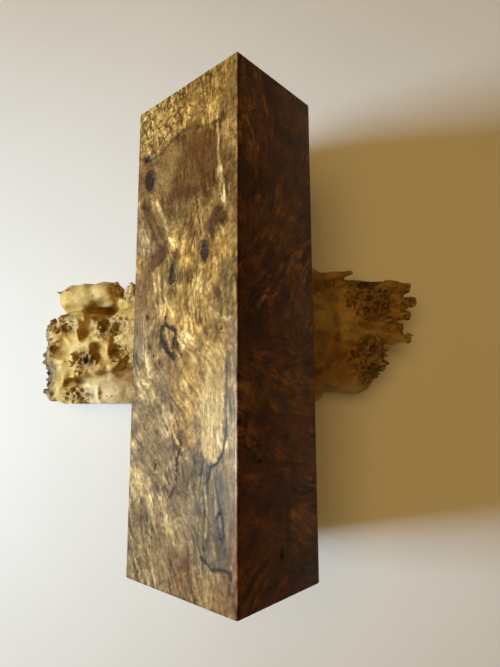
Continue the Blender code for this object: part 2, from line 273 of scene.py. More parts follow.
def read_table(text: str, *pattern: int) -> Table:
    """Read rows of lengths in millimetres and of plain numbers.

    Args:
        text: The rows, parted by semicolons.
        pattern: The groups of a row: 2 or 3 for a place or a size, 1 for one length, 0 for one plain number and -3
            for a direction. A row may end before the pattern does.

    Returns:
        One tuple of groups for each row, with the lengths in metres.
    """
    table = []
    for row in text.split(";"):
        numbers = [float(word) for word in row.split()]
        groups: list[object] = []
        for sign in pattern:
            count = max(abs(sign), 1)
            part, numbers = numbers[:count], numbers[count:]
            if sign > 0:
                part = [round(number * MM, 7) for number in part]
            if part:
                groups.append(tuple(part) if count > 1 else part[0])
        table.append(tuple(groups))
    return tuple(table)


@dataclass(frozen=True)
class FaceFigure:
    """Figure of one face: its colours, the way its fibres flow, and its marks."""

    size: Point2
    ground: Tone
    tones: tuple[tuple[Tone, Spot | Line], ...] = ()
    flow: tuple[tuple[float, float, float], ...] = ((0.0, 0.0, 0.0),)
    inclusions: tuple[Mark, ...] = ()
    crackle: tuple[Spot, ...] = ()
    eyes: tuple[Spot, ...] = ()
    calm: tuple[Spot, ...] = ()
    contrast: float = 0.34
    tint: Colour = (1.0, 1.0, 1.0)
    seed: int = 1

    GRID = 0.2
    STEP = 1.3
    FLOW_REACH = 9.0
    SWIRL_REACH = 1.2
    CURL = ((8.0, 0.45), (2.2, 0.42))
    LOOSE_SWAY = (1.3, 0.55)
    TIGHT_SWAY = (0.35, 0.22)
    DARKEST = -3.2
    LIGHTEST = 2.2
    CHANNELS = (1.0, 1.12, 1.34)
    INK_REACH = 4.0

    def flow_tilt(self, places: Array) -> Array:
        """Find which way the fibres run.

        Args:
            places: Places on the face, in millimetres.

        Returns:
            One unit vector for each place.
        """
        total = np.zeros((len(places), 2))
        for x, y, angle in self.flow:
            gap = np.hypot(places[:, 0] - x, places[:, 1] - y)
            weight = np.exp(-((gap / self.FLOW_REACH) ** 2)) + 1e-6
            double = 2.0 * math.radians(angle)
            total += weight[:, None] * np.array((math.sin(double), math.cos(double)))
        solid = np.column_stack((places, np.full(len(places), 7.0 * self.seed)))
        curl = 1.0 - 0.75 * gather(self.calm, places)
        curls = enumerate(self.CURL, self.seed + 90)
        sway = sum(share * fractal_noise(solid, size, 2, seed) for seed, (size, share) in curls)
        angle = np.arctan2(total[:, 0], total[:, 1]) / 2.0 + sway * curl
        course = np.column_stack((np.sin(angle), np.cos(angle)))
        for mark in self.inclusions:
            if isinstance(mark, Spot):
                course = self.swirl(course, places, mark)
        return course

    def swirl(self, course: Array, places: Array, mark: Spot) -> Array:
        """Turn the fibres so that they run round a mark.

        Args:
            course: Unit vectors along the fibres.
            places: Places on the face, in millimetres.
            mark: The oval that the fibres run round.

        Returns:
            The turned unit vectors.
        """
        offset = places - np.array((mark.x, mark.y))
        gap = np.linalg.norm(offset, axis=1) + 1e-6
        tangent = np.column_stack((-offset[:, 1], offset[:, 0])) / gap[:, None]
        same_way = np.sign(np.sum(tangent * course, axis=1))[:, None]
        weight = np.exp(-((np.maximum(mark.distance(places), 0.0) / self.SWIRL_REACH) ** 2))[:, None]
        mixed = course * (1.0 - weight) + tangent * same_way * weight
        return mixed / (np.linalg.norm(mixed, axis=1)[:, None] + 1e-9)

    def streaks(self, places: Array, grain: float, steps: int, seed: int) -> Array:
        """Smear noise along the fibres.

        Args:
            places: Places on the face, in millimetres.
            grain: Width of a streak, in millimetres.
            steps: Length of a streak to either side, in steps of the grid.
            seed: Number that picks one set of streaks.

        Returns:
            One value for each place, with a mean of 0 and a spread of 1.
        """
        columns = int(self.size[0] / self.GRID) + 1
        rows = int(self.size[1] / self.GRID) + 1
        x, y = np.meshgrid(np.arange(columns) * self.GRID, np.arange(rows) * self.GRID)
        cells = np.column_stack((x.ravel(), y.ravel()))
        course = self.flow_tilt(cells).reshape(rows, columns, 2)
        solid = np.column_stack((cells, np.full(len(cells), 3.0)))
        cloud = lattice_noise(solid / grain, seed).reshape(rows, columns)
        total = cloud.ravel().copy()
        for way in (-1.0, 1.0):
            spot = cells.copy()
            heading = course.reshape(-1, 2) * way
            for _ in range(steps):
                spot += heading * self.GRID * self.STEP
                column = np.clip(np.rint(spot[:, 0] / self.GRID).astype(int), 0, columns - 1)
                row = np.clip(np.rint(spot[:, 1] / self.GRID).astype(int), 0, rows - 1)
                total += cloud[row, column]
                turned = course[row, column]
                heading = turned * np.where(np.sum(turned * heading, axis=1) < 0.0, -1.0, 1.0)[:, None]
        total = ((total - total.mean()) / total.std()).reshape(rows, columns)
        return sample_grid(total, places / self.GRID)

    def paint(self, places: Array, solid: Array) -> dict[str, Array]:
        """Work out the colour and the marks of places on the face.

        Args:
            places: Places on the face, in millimetres.
            solid: The same places in the blank, in millimetres.

        Returns:
            The colour, the distance from the dark inclusions, and the weights of crackle and of eyes.
        """
        sway = noise_pair(solid, 5.0, 3, 31)
        fine = noise_pair(solid, 1.1, 2, 41)
        loose, tight = (
            places + wide * sway + narrow * fine for wide, narrow in (self.LOOSE_SWAY, self.TIGHT_SWAY)
        )
        colour = np.tile(np.array(self.ground.value), (len(places), 1))
        for tone, mark in self.tones:
            weight = mark.mask(loose if isinstance(mark, Spot) else tight)[:, None]
            colour = colour * (1.0 - weight) + np.array(tone.value) * weight
        calm = gather(self.calm, loose)
        figure = 0.65 * self.streaks(places, 0.36, 6, self.seed) + 0.4 * self.streaks(places, 0.8, 12, self.seed + 5)
        figure *= np.clip(1.0 + 0.9 * fractal_noise(solid, 5.0, 2, 53), 0.25, 1.8)
        figure += 1.0 * fractal_noise(solid, 2.6, 3, 51) + 0.75 * fractal_noise(solid, 0.75, 2, 52)
        figure = figure - 0.35 * np.maximum(-figure - 0.8, 0.0)
        figure = np.clip(figure * (1.0 - 0.62 * calm), self.DARKEST, self.LIGHTEST) * self.contrast
        colour = colour * np.exp(figure[:, None] * np.array(self.CHANNELS))
        ink = np.full(len(places), self.INK_REACH)
        for mark in self.inclusions:
            ink = np.minimum(ink, mark.distance(tight))
        return {
            "tone": colour * np.array(self.tint),
            "ink": ink,
            "crackle": gather(self.crackle, loose),
            "eyes": gather(self.eyes, loose),
            "place": np.column_stack((places, np.full(len(places), float(self.seed)))),
            "run": self.run_of_fibres(places),
        }

    def run_of_fibres(self, places: Array) -> Array:
        """Return the cosine and sine of twice the fibres' angle, and 0, for each place."""
        course = self.flow_tilt(places)
        double = 2.0 * np.arctan2(course[:, 0], course[:, 1])
        return np.column_stack((np.cos(double), np.sin(double), np.zeros(len(places))))


def sample_grid(grid: Array, places: Array) -> Array:
    """Read a grid between its cells.

    Args:
        grid: Values, in rows and columns.
        places: Column and row of each place, with fractions.

    Returns:
        One value for each place.
    """
    column = np.clip(places[:, 0], 0.0, grid.shape[1] - 1.001)
    row = np.clip(places[:, 1], 0.0, grid.shape[0] - 1.001)
    left = column.astype(int)
    top = row.astype(int)
    right_share = column - left
    low_share = row - top
    upper = grid[top, left] * (1.0 - right_share) + grid[top, left + 1] * right_share
    lower = grid[top + 1, left] * (1.0 - right_share) + grid[top + 1, left + 1] * right_share
    return upper * (1.0 - low_share) + lower * low_share


def gather(spots: Iterable[Spot], places: Array) -> Array:
    """Return the strongest of several soft ovals at each place, 0 outside them all."""
    best = np.zeros(len(places))
    for spot in spots:
        best = np.maximum(best, spot.mask(places))
    return best


WIDE_FIGURE = FaceFigure(
    size=(40.0, 130.0),
    ground=Tone.TAN,
    tones=read_tones("""
        GREY_TAN 12 108 30 33 0 1 .25; BROWN 2.5 52 5.5 15 0 .7; GREY_TAN 4 72 7 8 0 .7;
        PALE_GOLD 9 3 14 12 0 1 .25; GOLD 28 5 13 11 0 1 .25; TAN 39 9 3.5 11 0 .9; BROWN 22 25 14 12 0 1 .14;
        TAN 15 20 4 4.5 0 .8; TAN 12.5 26.5 3.2 4.5 15 .9; RUST 26.5 22.5 6.5 8.5 15 .65 .6;
        BROWN 22 22 2.5 5 0 .6; UMBER 22 31.5 2.2 8 80 .75; PLUM 5 22 3.2 5.6 20 .75; BROWN 37 24 5 16 0 .5;
        UMBER 37 29 2.5 4 0 .6; UMBER 33 41.5 3.4 3.6 0 .85; RUST 24 39.5 2.4 5 10 .8; OLIVE 19 36 4 4 0 .7;
        TAN 26 36.5 4.5 3 0 .6; GREY_TAN 3 37 4.5 7 15 .9; GOLD 2.2 27 2.6 4.5 0 .7; BROWN 3 20 4 5.5 0 .9;
        UMBER 3.5,29.5 8,36 13,44 3.4 .8; UMBER 8.5 46 5.6 3.4 10 .85; TAN 3 47 3 4 0 .6;
        PALE_GOLD 17 43 2.2 2.8 0 .9; GOLD 22.5 47.5 3.2 4 0 .85; GOLD 33 50 5.5 6 0 .75; OLIVE 17 52 2.8 5 0 .8;
        CREAM 27.5 57.5 3.4 3.8 0 .75; GOLD 24 59 8 6 0 .6; PALE_GOLD 18 62.5 4.2 4 0 .9;
        PALE_GOLD 22.5 66 4.2 5 0 .9; CREAM 22 70 2.6 3 60 .8; OLIVE 38 57 3.5 6.5 0 .9; GOLD 31 71 7 7 0 .8;
        OLIVE 12.5 68 3.4 6 0 .8; GREY_TAN 3 68 4.5 8 0 .6; ASH 1.5 72 2.5 7 0 .5; GOLD 24 80 8 8 0 .8;
        GOLD 22 91 4.5 6 0 .85; GREY_TAN 38.6 80 3 14 0 .85; CREAM 32.5 86 4.2 13.5 0 .9 .2;
        PALE_GOLD 32 78 3.6 5 0 .6; GREY_TAN 38.4 98 2.8 9 0 .8; CREAM 38.4 98 1.9 10 0 .6;
        ASH 30 102 5.5 4.5 -30 .6; ASH 28.5 109 3.8 8 -8 .6; SLATE 33.2 107 2.6 8 6 .65;
        SLATE 34 116 3 5.6 4 .8 .3; ASH 29 118 3.2 3.6 0 .6; ROSE 39 113 2 14 0 .75; BROWN 22.5 124.5 3.6 4.5 0 .8;
        TAN 32 126 5 3.5 0 .6; ROSE 37.5 124 3 4.5 0 .7; OLIVE 9 92 3.6 3.6 0 .55; OLIVE 12 100 2.4 3.6 0 .6;
        CREAM 5.5 106 2.4 7 62 .6; CREAM 2.2 96 1.4 3 40 .5; CREAM 6 81 2.4 6 40 .45; OLIVE 10 118 4 7 15 .45;
        OLIVE 3 114 2.4 5 0 .4; CREAM 33,14 33.4,20 33.7,24.5 34.6,29 35.3,33 35.7,39.5 .56 .8;
        CREAM 34,28 35,33 35.2,36.5 1.2 .55; PALE_GOLD 32,2 32.2,8 33,14 .99 .6;
        CREAM 26.2,34.5 27.2,39.5 28.6,44 .56 .75; PALE_GOLD 24.8,34.8 26,40 26.8,44 .5 .6;
        GREY_TAN 6,16.5 9,20.5 12,25 1.8 .7; CREAM 9,30 12,34 14.5,40 17,45 .93 .6;
        CREAM 8.6,50.5 9.4,55 10.4,61 .74 .75; CREAM 10.8,50.5 11.8,56 12.3,62 .68 .75;
        CREAM 14.2,57.5 15.4,62 .5 .6; CREAM 18,68 23,72 27,76 .62 .6; CREAM 20,66.8 25,69.5 29,74 .62 .6;
        CREAM 5.5,66 6,72 7.6,78 .62 .5; CREAM 31,63 35,65.5 38,66 .74 .5;
        CREAM 16,111.5 17.5,115 19.2,118.5 .68 .6; CREAM 14,108 15.5,113 17,118 .5 .5;
        CREAM 6.5,115 7.6,120 10,125 .56 .5; CREAM 31.8,100.5 33,105 33.4,110 .5 .35;
        UMBER 0,14 5,16.8 10.5,16.2 15,14.4 19.6,13.2 24,13.8 33,15.6 .8 .75;
        SLATE 36.4,76 36.6,84 36.8,92 35.6,96.5 33,98.8 31,99.8 29.6,98.6 .7 .8;
        SLATE 29,119.8 32,121.2 35,121 37.6,120.6 38.4,122.4 .8 .8; SLATE 36.4,100 37,110 37.2,119 .8 .5;
        RUST 5.5,110.5 5.8,116 8,121.5 10,126 .8 .7; INK 36.9,88 36.6,93 35.4,96.6 33,98.9 31,99.9 .45 .85;
        INK 28.4,119.4 31.6,121 35,121.2 37.6,120.6 38.4,122.4 .55 .85;
        INK 30.6,101.5 29.6,106 30.3,112 29.2,117.5 .5 .65; INK 33,103 34.2,107.5 35.6,111 35.2,115.5 .55 .7;
        TAN 31.4,101.5 31.6,107 32.2,113 33.2,118.5 .7 .7; GREY_TAN 35.6,99.5 36.2,106 37,112 36.6,118.5 .6 .7;
        TAN 27.4,103 27,109 28,115 .7 .7; CREAM 29.9,104 30.8,109 30.5,114.5 .6 .55;
        INK 27.8,105 28.5,110 27.8,115.5 .45 .6; UMBER 26.2,97.5 25.8,101 23.6,104 23.2,107.5 .9 .6;
        UMBER 28.7,96.3 29.2,99 28.4,102 28.6,106 .7 .75
    """),
    flow=(
        (5, 5, 20), (20, 5, 0), (33, 6, 0), (10, 20, 35), (5, 35, 30), (13, 38, 25), (25, 25, 0), (35, 30, 5),
        (27, 40, 12), (10, 47, 10), (20, 50, 0), (32, 50, -5), (5, 60, 0), (12, 57, 8), (22, 62, -12), (33, 60, 0),
        (8, 72, 12), (24, 73, 48), (33, 73, 25), (5, 85, 40), (15, 85, 30), (24, 85, 10), (33, 90, 3), (4, 98, 60),
        (12, 100, 45), (22, 97, 5), (4, 106, 62), (12, 112, 30), (20, 110, 25), (30, 108, 8), (7, 120, 25),
        (16, 117, 25), (25, 122, 35), (36, 120, 0), (38, 100, 0),
    ),
    inclusions=read_marks("""
        28.75 48.25 1.45 2.8 10; 16.4 52 1.1 2.9 0; 5.6 23 2.1 3.3 20; 4.2 16.2 1.2 1 0;
        12.9,65 12.6,67.5 13.8,70 15.6,72.3 17.6,73.6 1.5; 13.4,65.4 14.2,64 14.3,62.8 .9;
        14.4,64.6 15.8,65.6 17.6,66.2 18.4,67.6 18,69.6 19.6,71 1.4; 18.2,67.5 18.9,69.5 17.6,70.6 1.2;
        17.2,71.2 17.9,73.2 .6; 20.5,92.4 21.2,95 19.8,98.5 19.5,104.6 .55; 19.5,104.6 18.4,106 17.2,107.6 .45;
        3,15.2 4.6,16.8 .8; 3.2,27.5 3.6,30 6,31.5 .35; 6.4 62.2 .5 1 10; 7.7 69.7 .45 .6; 9.8 72.7 .4 .5;
        12.2 74.6 .5 .4; 34.7 67.7 .35 .5; 11.3 101 .5 .7; 20.6 67 .8 .22 60; ring 34.7 111.9 .9 2.4 4 .45;
        29,119.9 31.6,121 35,121.1 .28; 31,99.8 32.6,99 34.8,97.4 .25
    """),
    crackle=read_marks("""
        9 4 14 11 0 1 .25; 25 5 8 9 0 .55 .3
    """),
    eyes=read_marks("""
        8 90 9 14 0 .9; 10 119 7 10 0 1; 21 82 5 6 0 .6; 24 102 5 6 0 .5; 30 50 8 8 0 .4; 37 28 3 16 0 .7;
        28 120 6 6 0 .4
    """),
    calm=read_marks("""
        22 24 11 10 0 .85 .3; 32.5 86 4 13 0 .9 .3; 4 60 5 12 0 .6; 34 112 4 12 0 .3; 38 100 3 20 0 .4
    """),
    contrast=0.42,
    tint=(0.96, 0.86, 0.72),
    seed=3,
)

NARROW_FIGURE = FaceFigure(
    size=(30.0, 130.0),
    ground=Tone.RUST,
    tones=read_tones("""
        BROWN 22 22 9 26 0 .8; TAN 4.5 12 6 15 0 .75; BROWN 26 5 5 6 0 .6; UMBER 2.5 31.5 2.4 4.8 0 1 .15;
        UMBER 11,1.5 12.5,8 15.7,13.7 20,15.5 24,13.7 3 .85; BROWN 17 8 2 4 0 .5; TAN 15 40 8 8 30 .5;
        TAN 24 58 6 12 0 .6; BROWN 20 70 9 8 0 .6; UMBER 5 63 6 8 0 .85; UMBER 4.4,65.8 9,60 14,54 18.7,48 1.8 .9;
        UMBER 1.5,62 7,56 13,48.5 1.8 .85; GOLD 7,62.5 12,56.5 17,50.5 1 .55; GOLD 11,61.5 16.5,55 21.5,49 1 .55;
        ROSE 10 76 8 6 0 .8; GREY_TAN 8 82 8 6 0 .35; ROSE 15 104 14 14 0 .55; TAN 4.4 92.6 2.3 4.4 0 .85 .2;
        TAN 22 83 8 7 0 .5; TAN 24 98 7 8 0 .45; PLUM 12 107 6 3.5 0 .75; TAN 24 113 5 4 0 .5;
        GOLD 19.6,111 20,117.5 26.5,119.5 .7 .6; PLUM 17.5,119 15,121.5 13,124 1.4 .8;
        PLUM 17.2,108 17.6,118 1.3 .6; PLUM 25 124 7 4 0 .6; ROSE 7 125 9 5 0 .7
    """),
    flow=(
        (4, 10, 10), (4, 25, 0), (13, 8, 15), (20, 10, 35), (25, 20, -35), (22, 30, -32), (10, 30, -20),
        (10, 42, -20), (25, 42, -40), (8, 57, -42), (15, 55, -42), (25, 55, -48), (10, 68, -60), (20, 66, 15),
        (8, 75, 80), (20, 77, 75), (27, 75, -70), (8, 85, 85), (20, 85, 80), (22, 97, 80), (27, 105, 95),
        (10, 100, 80), (10, 110, 85), (20, 115, 10), (25, 112, 95), (8, 122, -60), (22, 124, 70),
    ),
    inclusions=read_marks("""
        ring 4.4 92.8 2.4 4.6 .3; 14.5 119.8 .6 1.2 -40; 6.5 98.5 1.4 .35 0
    """),
    crackle=read_marks("""
        4 12 6 15 0 .8 .3
    """),
    eyes=read_marks("""
        8 105 9 12 0 .5; 10 20 8 8 0 .4
    """),
    calm=read_marks("""
        10 112 9 14 0 .5; 2.5 31.5 2.4 5 0 .8
    """),
    contrast=0.46,
    # darker and redder than the wide face: partly the wood's own darker tone, partly painted shade, since this face is
    # turned away from the key light
    tint=(0.76, 0.54, 0.21),
    seed=11,
)


def wild_figure(size: Point2, seed: int, ground: Tone, others: tuple[Tone, ...]) -> FaceFigure:
    """Scatter a figure over a face that the photograph doesn't show.

    Args:
        size: Width and length of the face, in millimetres.
        seed: Number that picks one figure.
        ground: The face's main colour.
        others: Colours of the patches on it.

    Returns:
        The figure.
    """
    draw = random.Random(seed)

    def oval(least: float, most: float, strength: float) -> Spot:
        """Return an oval of a random place, size and turn."""
        x = draw.uniform(0.0, size[0])
        y = draw.uniform(0.0, size[1])
        return Spot(x, y, draw.uniform(least, most), draw.uniform(least, most) * 1.8, draw.uniform(-40, 40), strength)

    count = int(size[0] * size[1] / 90.0)
    tones = tuple((draw.choice(others), oval(2.0, 7.0, 0.7)) for _ in range(count))
    flow = tuple((draw.uniform(0, size[0]), draw.uniform(0, size[1]), draw.uniform(-45, 45)) for _ in range(count // 3))
    knots = tuple(oval(0.4, 1.1, 1.0) for _ in range(max(2, count // 16)))
    eyes = tuple(oval(4.0, 8.0, 0.9) for _ in range(max(2, count // 10)))
    crackle = tuple(oval(4.0, 8.0, 0.7) for _ in range(max(1, count // 20)))
    return FaceFigure(size, ground, tones, flow, knots, crackle, eyes, (), 0.36, (0.95, 0.86, 0.74), seed)


FIGURES: dict[Face, FaceFigure] = {
    Face.WIDE_TOP: WIDE_FIGURE,
    Face.NARROW_TOP: NARROW_FIGURE,
    Face.WIDE_UNDER: wild_figure((40.0, 130.0), 5, Tone.BROWN, (Tone.TAN, Tone.RUST, Tone.GOLD, Tone.OLIVE)),
    Face.NARROW_UNDER: wild_figure((30.0, 130.0), 6, Tone.BROWN, (Tone.TAN, Tone.RUST, Tone.GOLD, Tone.GREY_TAN)),
    Face.FAR_END: wild_figure((30.0, 40.0), 7, Tone.GOLD, (Tone.PALE_GOLD, Tone.TAN, Tone.BROWN, Tone.GOLD)),
    Face.NEAR_END: wild_figure((30.0, 40.0), 8, Tone.OLIVE, (Tone.GREY_TAN, Tone.BROWN, Tone.TAN, Tone.ROSE)),
}


def deselect_all() -> None:
    """Leave no object selected, in object mode."""
    if bpy.context.object is not None and bpy.context.object.mode != "OBJECT":
        bpy.ops.object.mode_set(mode="OBJECT")
    bpy.ops.object.select_all(action="DESELECT")


def make_active(thing: Piece) -> None:
    """Select one object alone and make it the active one."""
    deselect_all()
    thing.select_set(True)
    bpy.context.view_layer.objects.active = thing


def apply_modifier(thing: Piece, kind: str, **settings: object) -> None:
    """Put a modifier on an object and apply it.

    Args:
        thing: The object.
        kind: The modifier's type.
        settings: Values of the modifier.
    """
    make_active(thing)
    modifier = thing.modifiers.new(kind.title(), kind)
    for name, value in settings.items():
        setattr(modifier, name, value)
    bpy.ops.object.modifier_apply(modifier=modifier.name)


def vertex_places(thing: Piece) -> Array:
    """Return the places of an object's vertices, one row each."""
    places = np.empty(len(thing.data.vertices) * 3)
    thing.data.vertices.foreach_get("co", places)
    return places.reshape(-1, 3)


def move_vertices(thing: Piece, places: Array) -> None:
    """Put an object's vertices at new places."""
    thing.data.vertices.foreach_set("co", places.ravel())
    thing.data.update()


def vertex_normals(thing: Piece) -> Array:
    """Return the normals of an object's vertices, one row each."""
    normals = np.empty(len(thing.data.vertices) * 3, dtype=np.float32)
    thing.data.vertex_normals.foreach_get("vector", normals)
    return normals.reshape(-1, 3).astype(float)


def store_values(thing: Piece, name: str, values: Array) -> None:
    """Keep one number, or one colour, for each vertex in an attribute.

    Args:
        thing: The object.
        name: The attribute's name.
        values: One number or one row of three for each vertex.
    """
    if values.ndim == 1:
        layer = thing.data.attributes.new(name, "FLOAT", "POINT")
        layer.data.foreach_set("value", values.astype(np.float32))
        return
    layer = thing.data.attributes.new(name, "FLOAT_COLOR", "POINT")
    rows = np.column_stack((values, np.ones(len(values))))
    layer.data.foreach_set("color", rows.ravel().astype(np.float32))


@dataclass
class Shade:
    """Short hand for building a node tree."""

    tree: Tree

    def node(self, kind: str, inputs: dict[str | int, object] | None = None, **settings: object) -> Node:
        """Add a node.

        Args:
            kind: The node's type.
            inputs: Values or sockets for its inputs, by name or number.
            settings: Values of the node itself.

        Returns:
            The node.
        """
        node = self.tree.nodes.new(kind)
        for name, value in settings.items():
            setattr(node, name, value)
        for name, value in (inputs or {}).items():
            self.feed(node.inputs[name], value)
        return node

    def feed(self, socket: Socket, value: object) -> None:
        """Link an input to a socket, or give it a value."""
        if isinstance(value, Socket):
            self.tree.links.new(value, socket)
        else:
            socket.default_value = value

    def math(self, operation: str, first: object, second: object = 0.0, third: object = 0.0) -> Socket:
        """Return the result of a math node on two or three values or sockets."""
        return self.node("ShaderNodeMath", {0: first, 1: second, 2: third}, operation=operation).outputs[0]

    def product(self, *factors: object) -> Socket:
        """Return the product of values and sockets."""
        total = factors[0]
        for factor in factors[1:]:
            total = self.math("MULTIPLY", total, factor)
        return total

    def dot(self, first: object, second: object) -> Socket:
        """Return the dot product of two vectors."""
        return self.node("ShaderNodeVectorMath", {0: first, 1: second}, operation="DOT_PRODUCT").outputs["Value"]

    def vector(self, operation: str, first: object, second: object) -> Socket:
        """Return the result of a vector math node on two vectors."""
        return self.node("ShaderNodeVectorMath", {0: first, 1: second}, operation=operation).outputs[0]

    def ramp(
        self, value: object, low: float, high: float, to_low: float = 0.0, to_high: float = 1.0
    ) -> Socket:
        """Return a smooth change from one value to another as the input goes from low to high."""
        inputs = {"Value": value, "From Min": low, "From Max": high, "To Min": to_low, "To Max": to_high}
        return self.node("ShaderNodeMapRange", inputs, interpolation_type="SMOOTHSTEP").outputs[0]

    def mix(self, share: object, first: object, second: object, blend: str = "MIX") -> Socket:
        """Return a colour mixed from two colours or sockets."""
        node = self.node("ShaderNodeMix", {0: share}, data_type="RGBA", blend_type=blend)
        for name, value in ((6, first), (7, second)):
            self.feed(node.inputs[name], (*value, 1.0) if isinstance(value, tuple) else value)
        return node.outputs[2]

    def tinted(self, share: object, colour: object, factor: Colour) -> Socket:
        """Return a colour moved by a share towards the same colour times a factor."""
        return self.mix(share, colour, self.mix(1.0, colour, factor, "MULTIPLY"))

    def noise(self, vector: object, scale: float, detail: float = 3.0, roughness: float = 0.55) -> Socket:
        """Return a noise value of a scale in cells a metre."""
        inputs = {"Vector": vector, "Scale": scale, "Detail": detail, "Roughness": roughness}
        return self.node("ShaderNodeTexNoise", inputs).outputs[0]

    def attribute(self, name: str) -> Node:
        """Return a node that reads an attribute of the piece."""
        return self.node("ShaderNodeAttribute", attribute_name=name, attribute_type="GEOMETRY")

    def group(self, tree: Tree, inputs: dict[str, object]) -> Node:
        """Return a node that holds a node group."""
        return self.node("ShaderNodeGroup", inputs, node_tree=tree)


def new_group(
    name: str, inputs: dict[str, object], outputs: tuple[str, ...]
) -> tuple[Shade, Node, Node]:
    """Start a shader node group.

    Args:
        name: The group's name.
        inputs: Its input names, each with a number, or None for a vector.
        outputs: The names of the values that it puts out.

    Returns:
        The tree's short hand, its input node and its output node.
    """
    tree = bpy.data.node_groups.new(name, "ShaderNodeTree")
    for label, value in inputs.items():
        kind = "NodeSocketVector" if value is None else "NodeSocketFloat"
        socket = tree.interface.new_socket(label, in_out="INPUT", socket_type=kind)
        if value is not None:
            socket.default_value = value
    for label in outputs:
        tree.interface.new_socket(label, in_out="OUTPUT", socket_type="NodeSocketFloat")
    return Shade(tree), tree.nodes.new("NodeGroupInput"), tree.nodes.new("NodeGroupOutput")


def grain_group() -> Tree:
    """Build short fibres and pores that run along Y.

    Returns:
        The node group: a vector and two lengths in metres give a value round 0.5.
    """
    shade, source, sink = new_group("straight_grain", {"Vector": None, "Width": 0.0002, "Length": 0.0012}, ("Value",))
    across = shade.math("DIVIDE", 1.0, source.outputs["Width"])
    along = shade.math("DIVIDE", 1.0, source.outputs["Length"])
    scale = shade.node("ShaderNodeCombineXYZ", {0: across, 1: along, 2: across}).outputs[0]
    stretched = shade.vector("MULTIPLY", source.outputs["Vector"], scale)
    value = shade.noise(stretched, 1.0, 2.0, 0.6)
    shade.feed(sink.inputs["Value"], value)
    return shade.tree


FIBRE_WAYS = 6


def fibre_group() -> Tree:
    """Build short fibres that follow the run of the figure.

    Returns:
        The node group: a place on the face and the run, with two lengths in millimetres, give a value round 0.5.
    """
    inputs = {"Place": None, "Run": None, "Width": 0.2, "Length": 1.2}
    shade, source, sink = new_group("flowing_fibres", inputs, ("Value",))
    sway = shade.node("ShaderNodeTexNoise", {"Vector": source.outputs["Place"], "Scale": 0.55, "Detail": 3.0})
    bent = shade.vector("MULTIPLY", sway.outputs["Color"], (1.5, 1.5, 0.0))
    place = shade.vector("ADD", source.outputs["Place"], bent)
    total: object = 0.0
    weights: object = 0.0001
    for number in range(FIBRE_WAYS):
        angle = math.pi * number / FIBRE_WAYS
        way = (math.cos(2.0 * angle), math.sin(2.0 * angle), 0.0)
        weight = shade.ramp(shade.dot(source.outputs["Run"], way), 0.4, 0.95)
        sides = ((math.cos(angle), -math.sin(angle), 0.0), (math.sin(angle), math.cos(angle), 0.0))
        across, along = (shade.dot(place, side) for side in sides)
        across = shade.math("DIVIDE", across, source.outputs["Width"])
        along = shade.math("DIVIDE", along, source.outputs["Length"])
        point = shade.node("ShaderNodeCombineXYZ", {0: across, 1: along, 2: 9.7 * number}).outputs[0]
        value = shade.noise(point, 1.0, 2.0, 0.6)
        total = shade.math("MULTIPLY_ADD", shade.math("SUBTRACT", value, 0.5), weight, total)
        weights = shade.math("MULTIPLY_ADD", weight, weight, weights)
    spread = shade.math("DIVIDE", total, shade.math("SQRT", weights))
    shade.feed(sink.inputs["Value"], shade.math("ADD", spread, 0.5))
    return shade.tree


def eyes_group() -> Tree:
    """Build the small eyes of burl: dark cores with pale rings, some of them missing.

    Returns:
        The node group: a vector, a spacing, a size and a share give a core and a ring mask.
    """
    inputs = {"Vector": None, "Spacing": 0.0022, "Size": 0.16, "Share": 0.6}
    shade, source, sink = new_group("burl_eyes", inputs, ("Core", "Ring"))
    scale = shade.math("DIVIDE", 1.0, source.outputs["Spacing"])
    sway = shade.node("ShaderNodeTexNoise", {"Vector": source.outputs["Vector"], "Scale": 700.0, "Detail": 2.0})
    bent = shade.vector("MULTIPLY", sway.outputs["Color"], (0.0009, 0.0009, 0.0009))
    place = shade.vector("ADD", source.outputs["Vector"], bent)
    cells = shade.node("ShaderNodeTexVoronoi", {"Vector": place, "Scale": scale, "Randomness": 1.0})
    chance = shade.node("ShaderNodeSeparateColor", {0: cells.outputs["Color"]})
    there = shade.math("LESS_THAN", chance.outputs[0], source.outputs["Share"])
    size = shade.math("MULTIPLY", source.outputs["Size"], shade.ramp(chance.outputs[1], 0.0, 1.0, 0.5, 1.5))
    reach = shade.math("DIVIDE", cells.outputs["Distance"], size)
    core = shade.math("MULTIPLY", shade.ramp(reach, 0.7, 1.15, 1.0, 0.0), there)
    bump = shade.math("ABSOLUTE", shade.math("SUBTRACT", reach, 1.7))
    ring = shade.math("MULTIPLY", shade.ramp(bump, 0.15, 0.75, 1.0, 0.0), there)
    shade.feed(sink.inputs["Core"], core)
    shade.feed(sink.inputs["Ring"], ring)
    return shade.tree


def crackle_group() -> Tree:
    """Build a net of thin crooked lines.

    Returns:
        The node group: a vector, a cell size and a line share give a line mask.
    """
    inputs = {"Vector": None, "Cell": 0.003, "Line": 0.06}
    shade, source, sink = new_group("crackle_lines", inputs, ("Line",))
    sway = shade.node("ShaderNodeTexNoise", {"Vector": source.outputs["Vector"], "Scale": 420.0, "Detail": 4.0})
    bent = shade.vector("MULTIPLY", sway.outputs["Color"], (0.0042, 0.0042, 0.0042))
    place = shade.vector("ADD", source.outputs["Vector"], bent)
    scale = shade.math("DIVIDE", 1.0, source.outputs["Cell"])
    cells = shade.node("ShaderNodeTexVoronoi", {"Vector": place, "Scale": scale}, feature="DISTANCE_TO_EDGE")
    part = shade.math("DIVIDE", cells.outputs["Distance"], source.outputs["Line"])
    shade.feed(sink.inputs["Line"], shade.ramp(part, 0.3, 1.3, 1.0, 0.0))
    return shade.tree


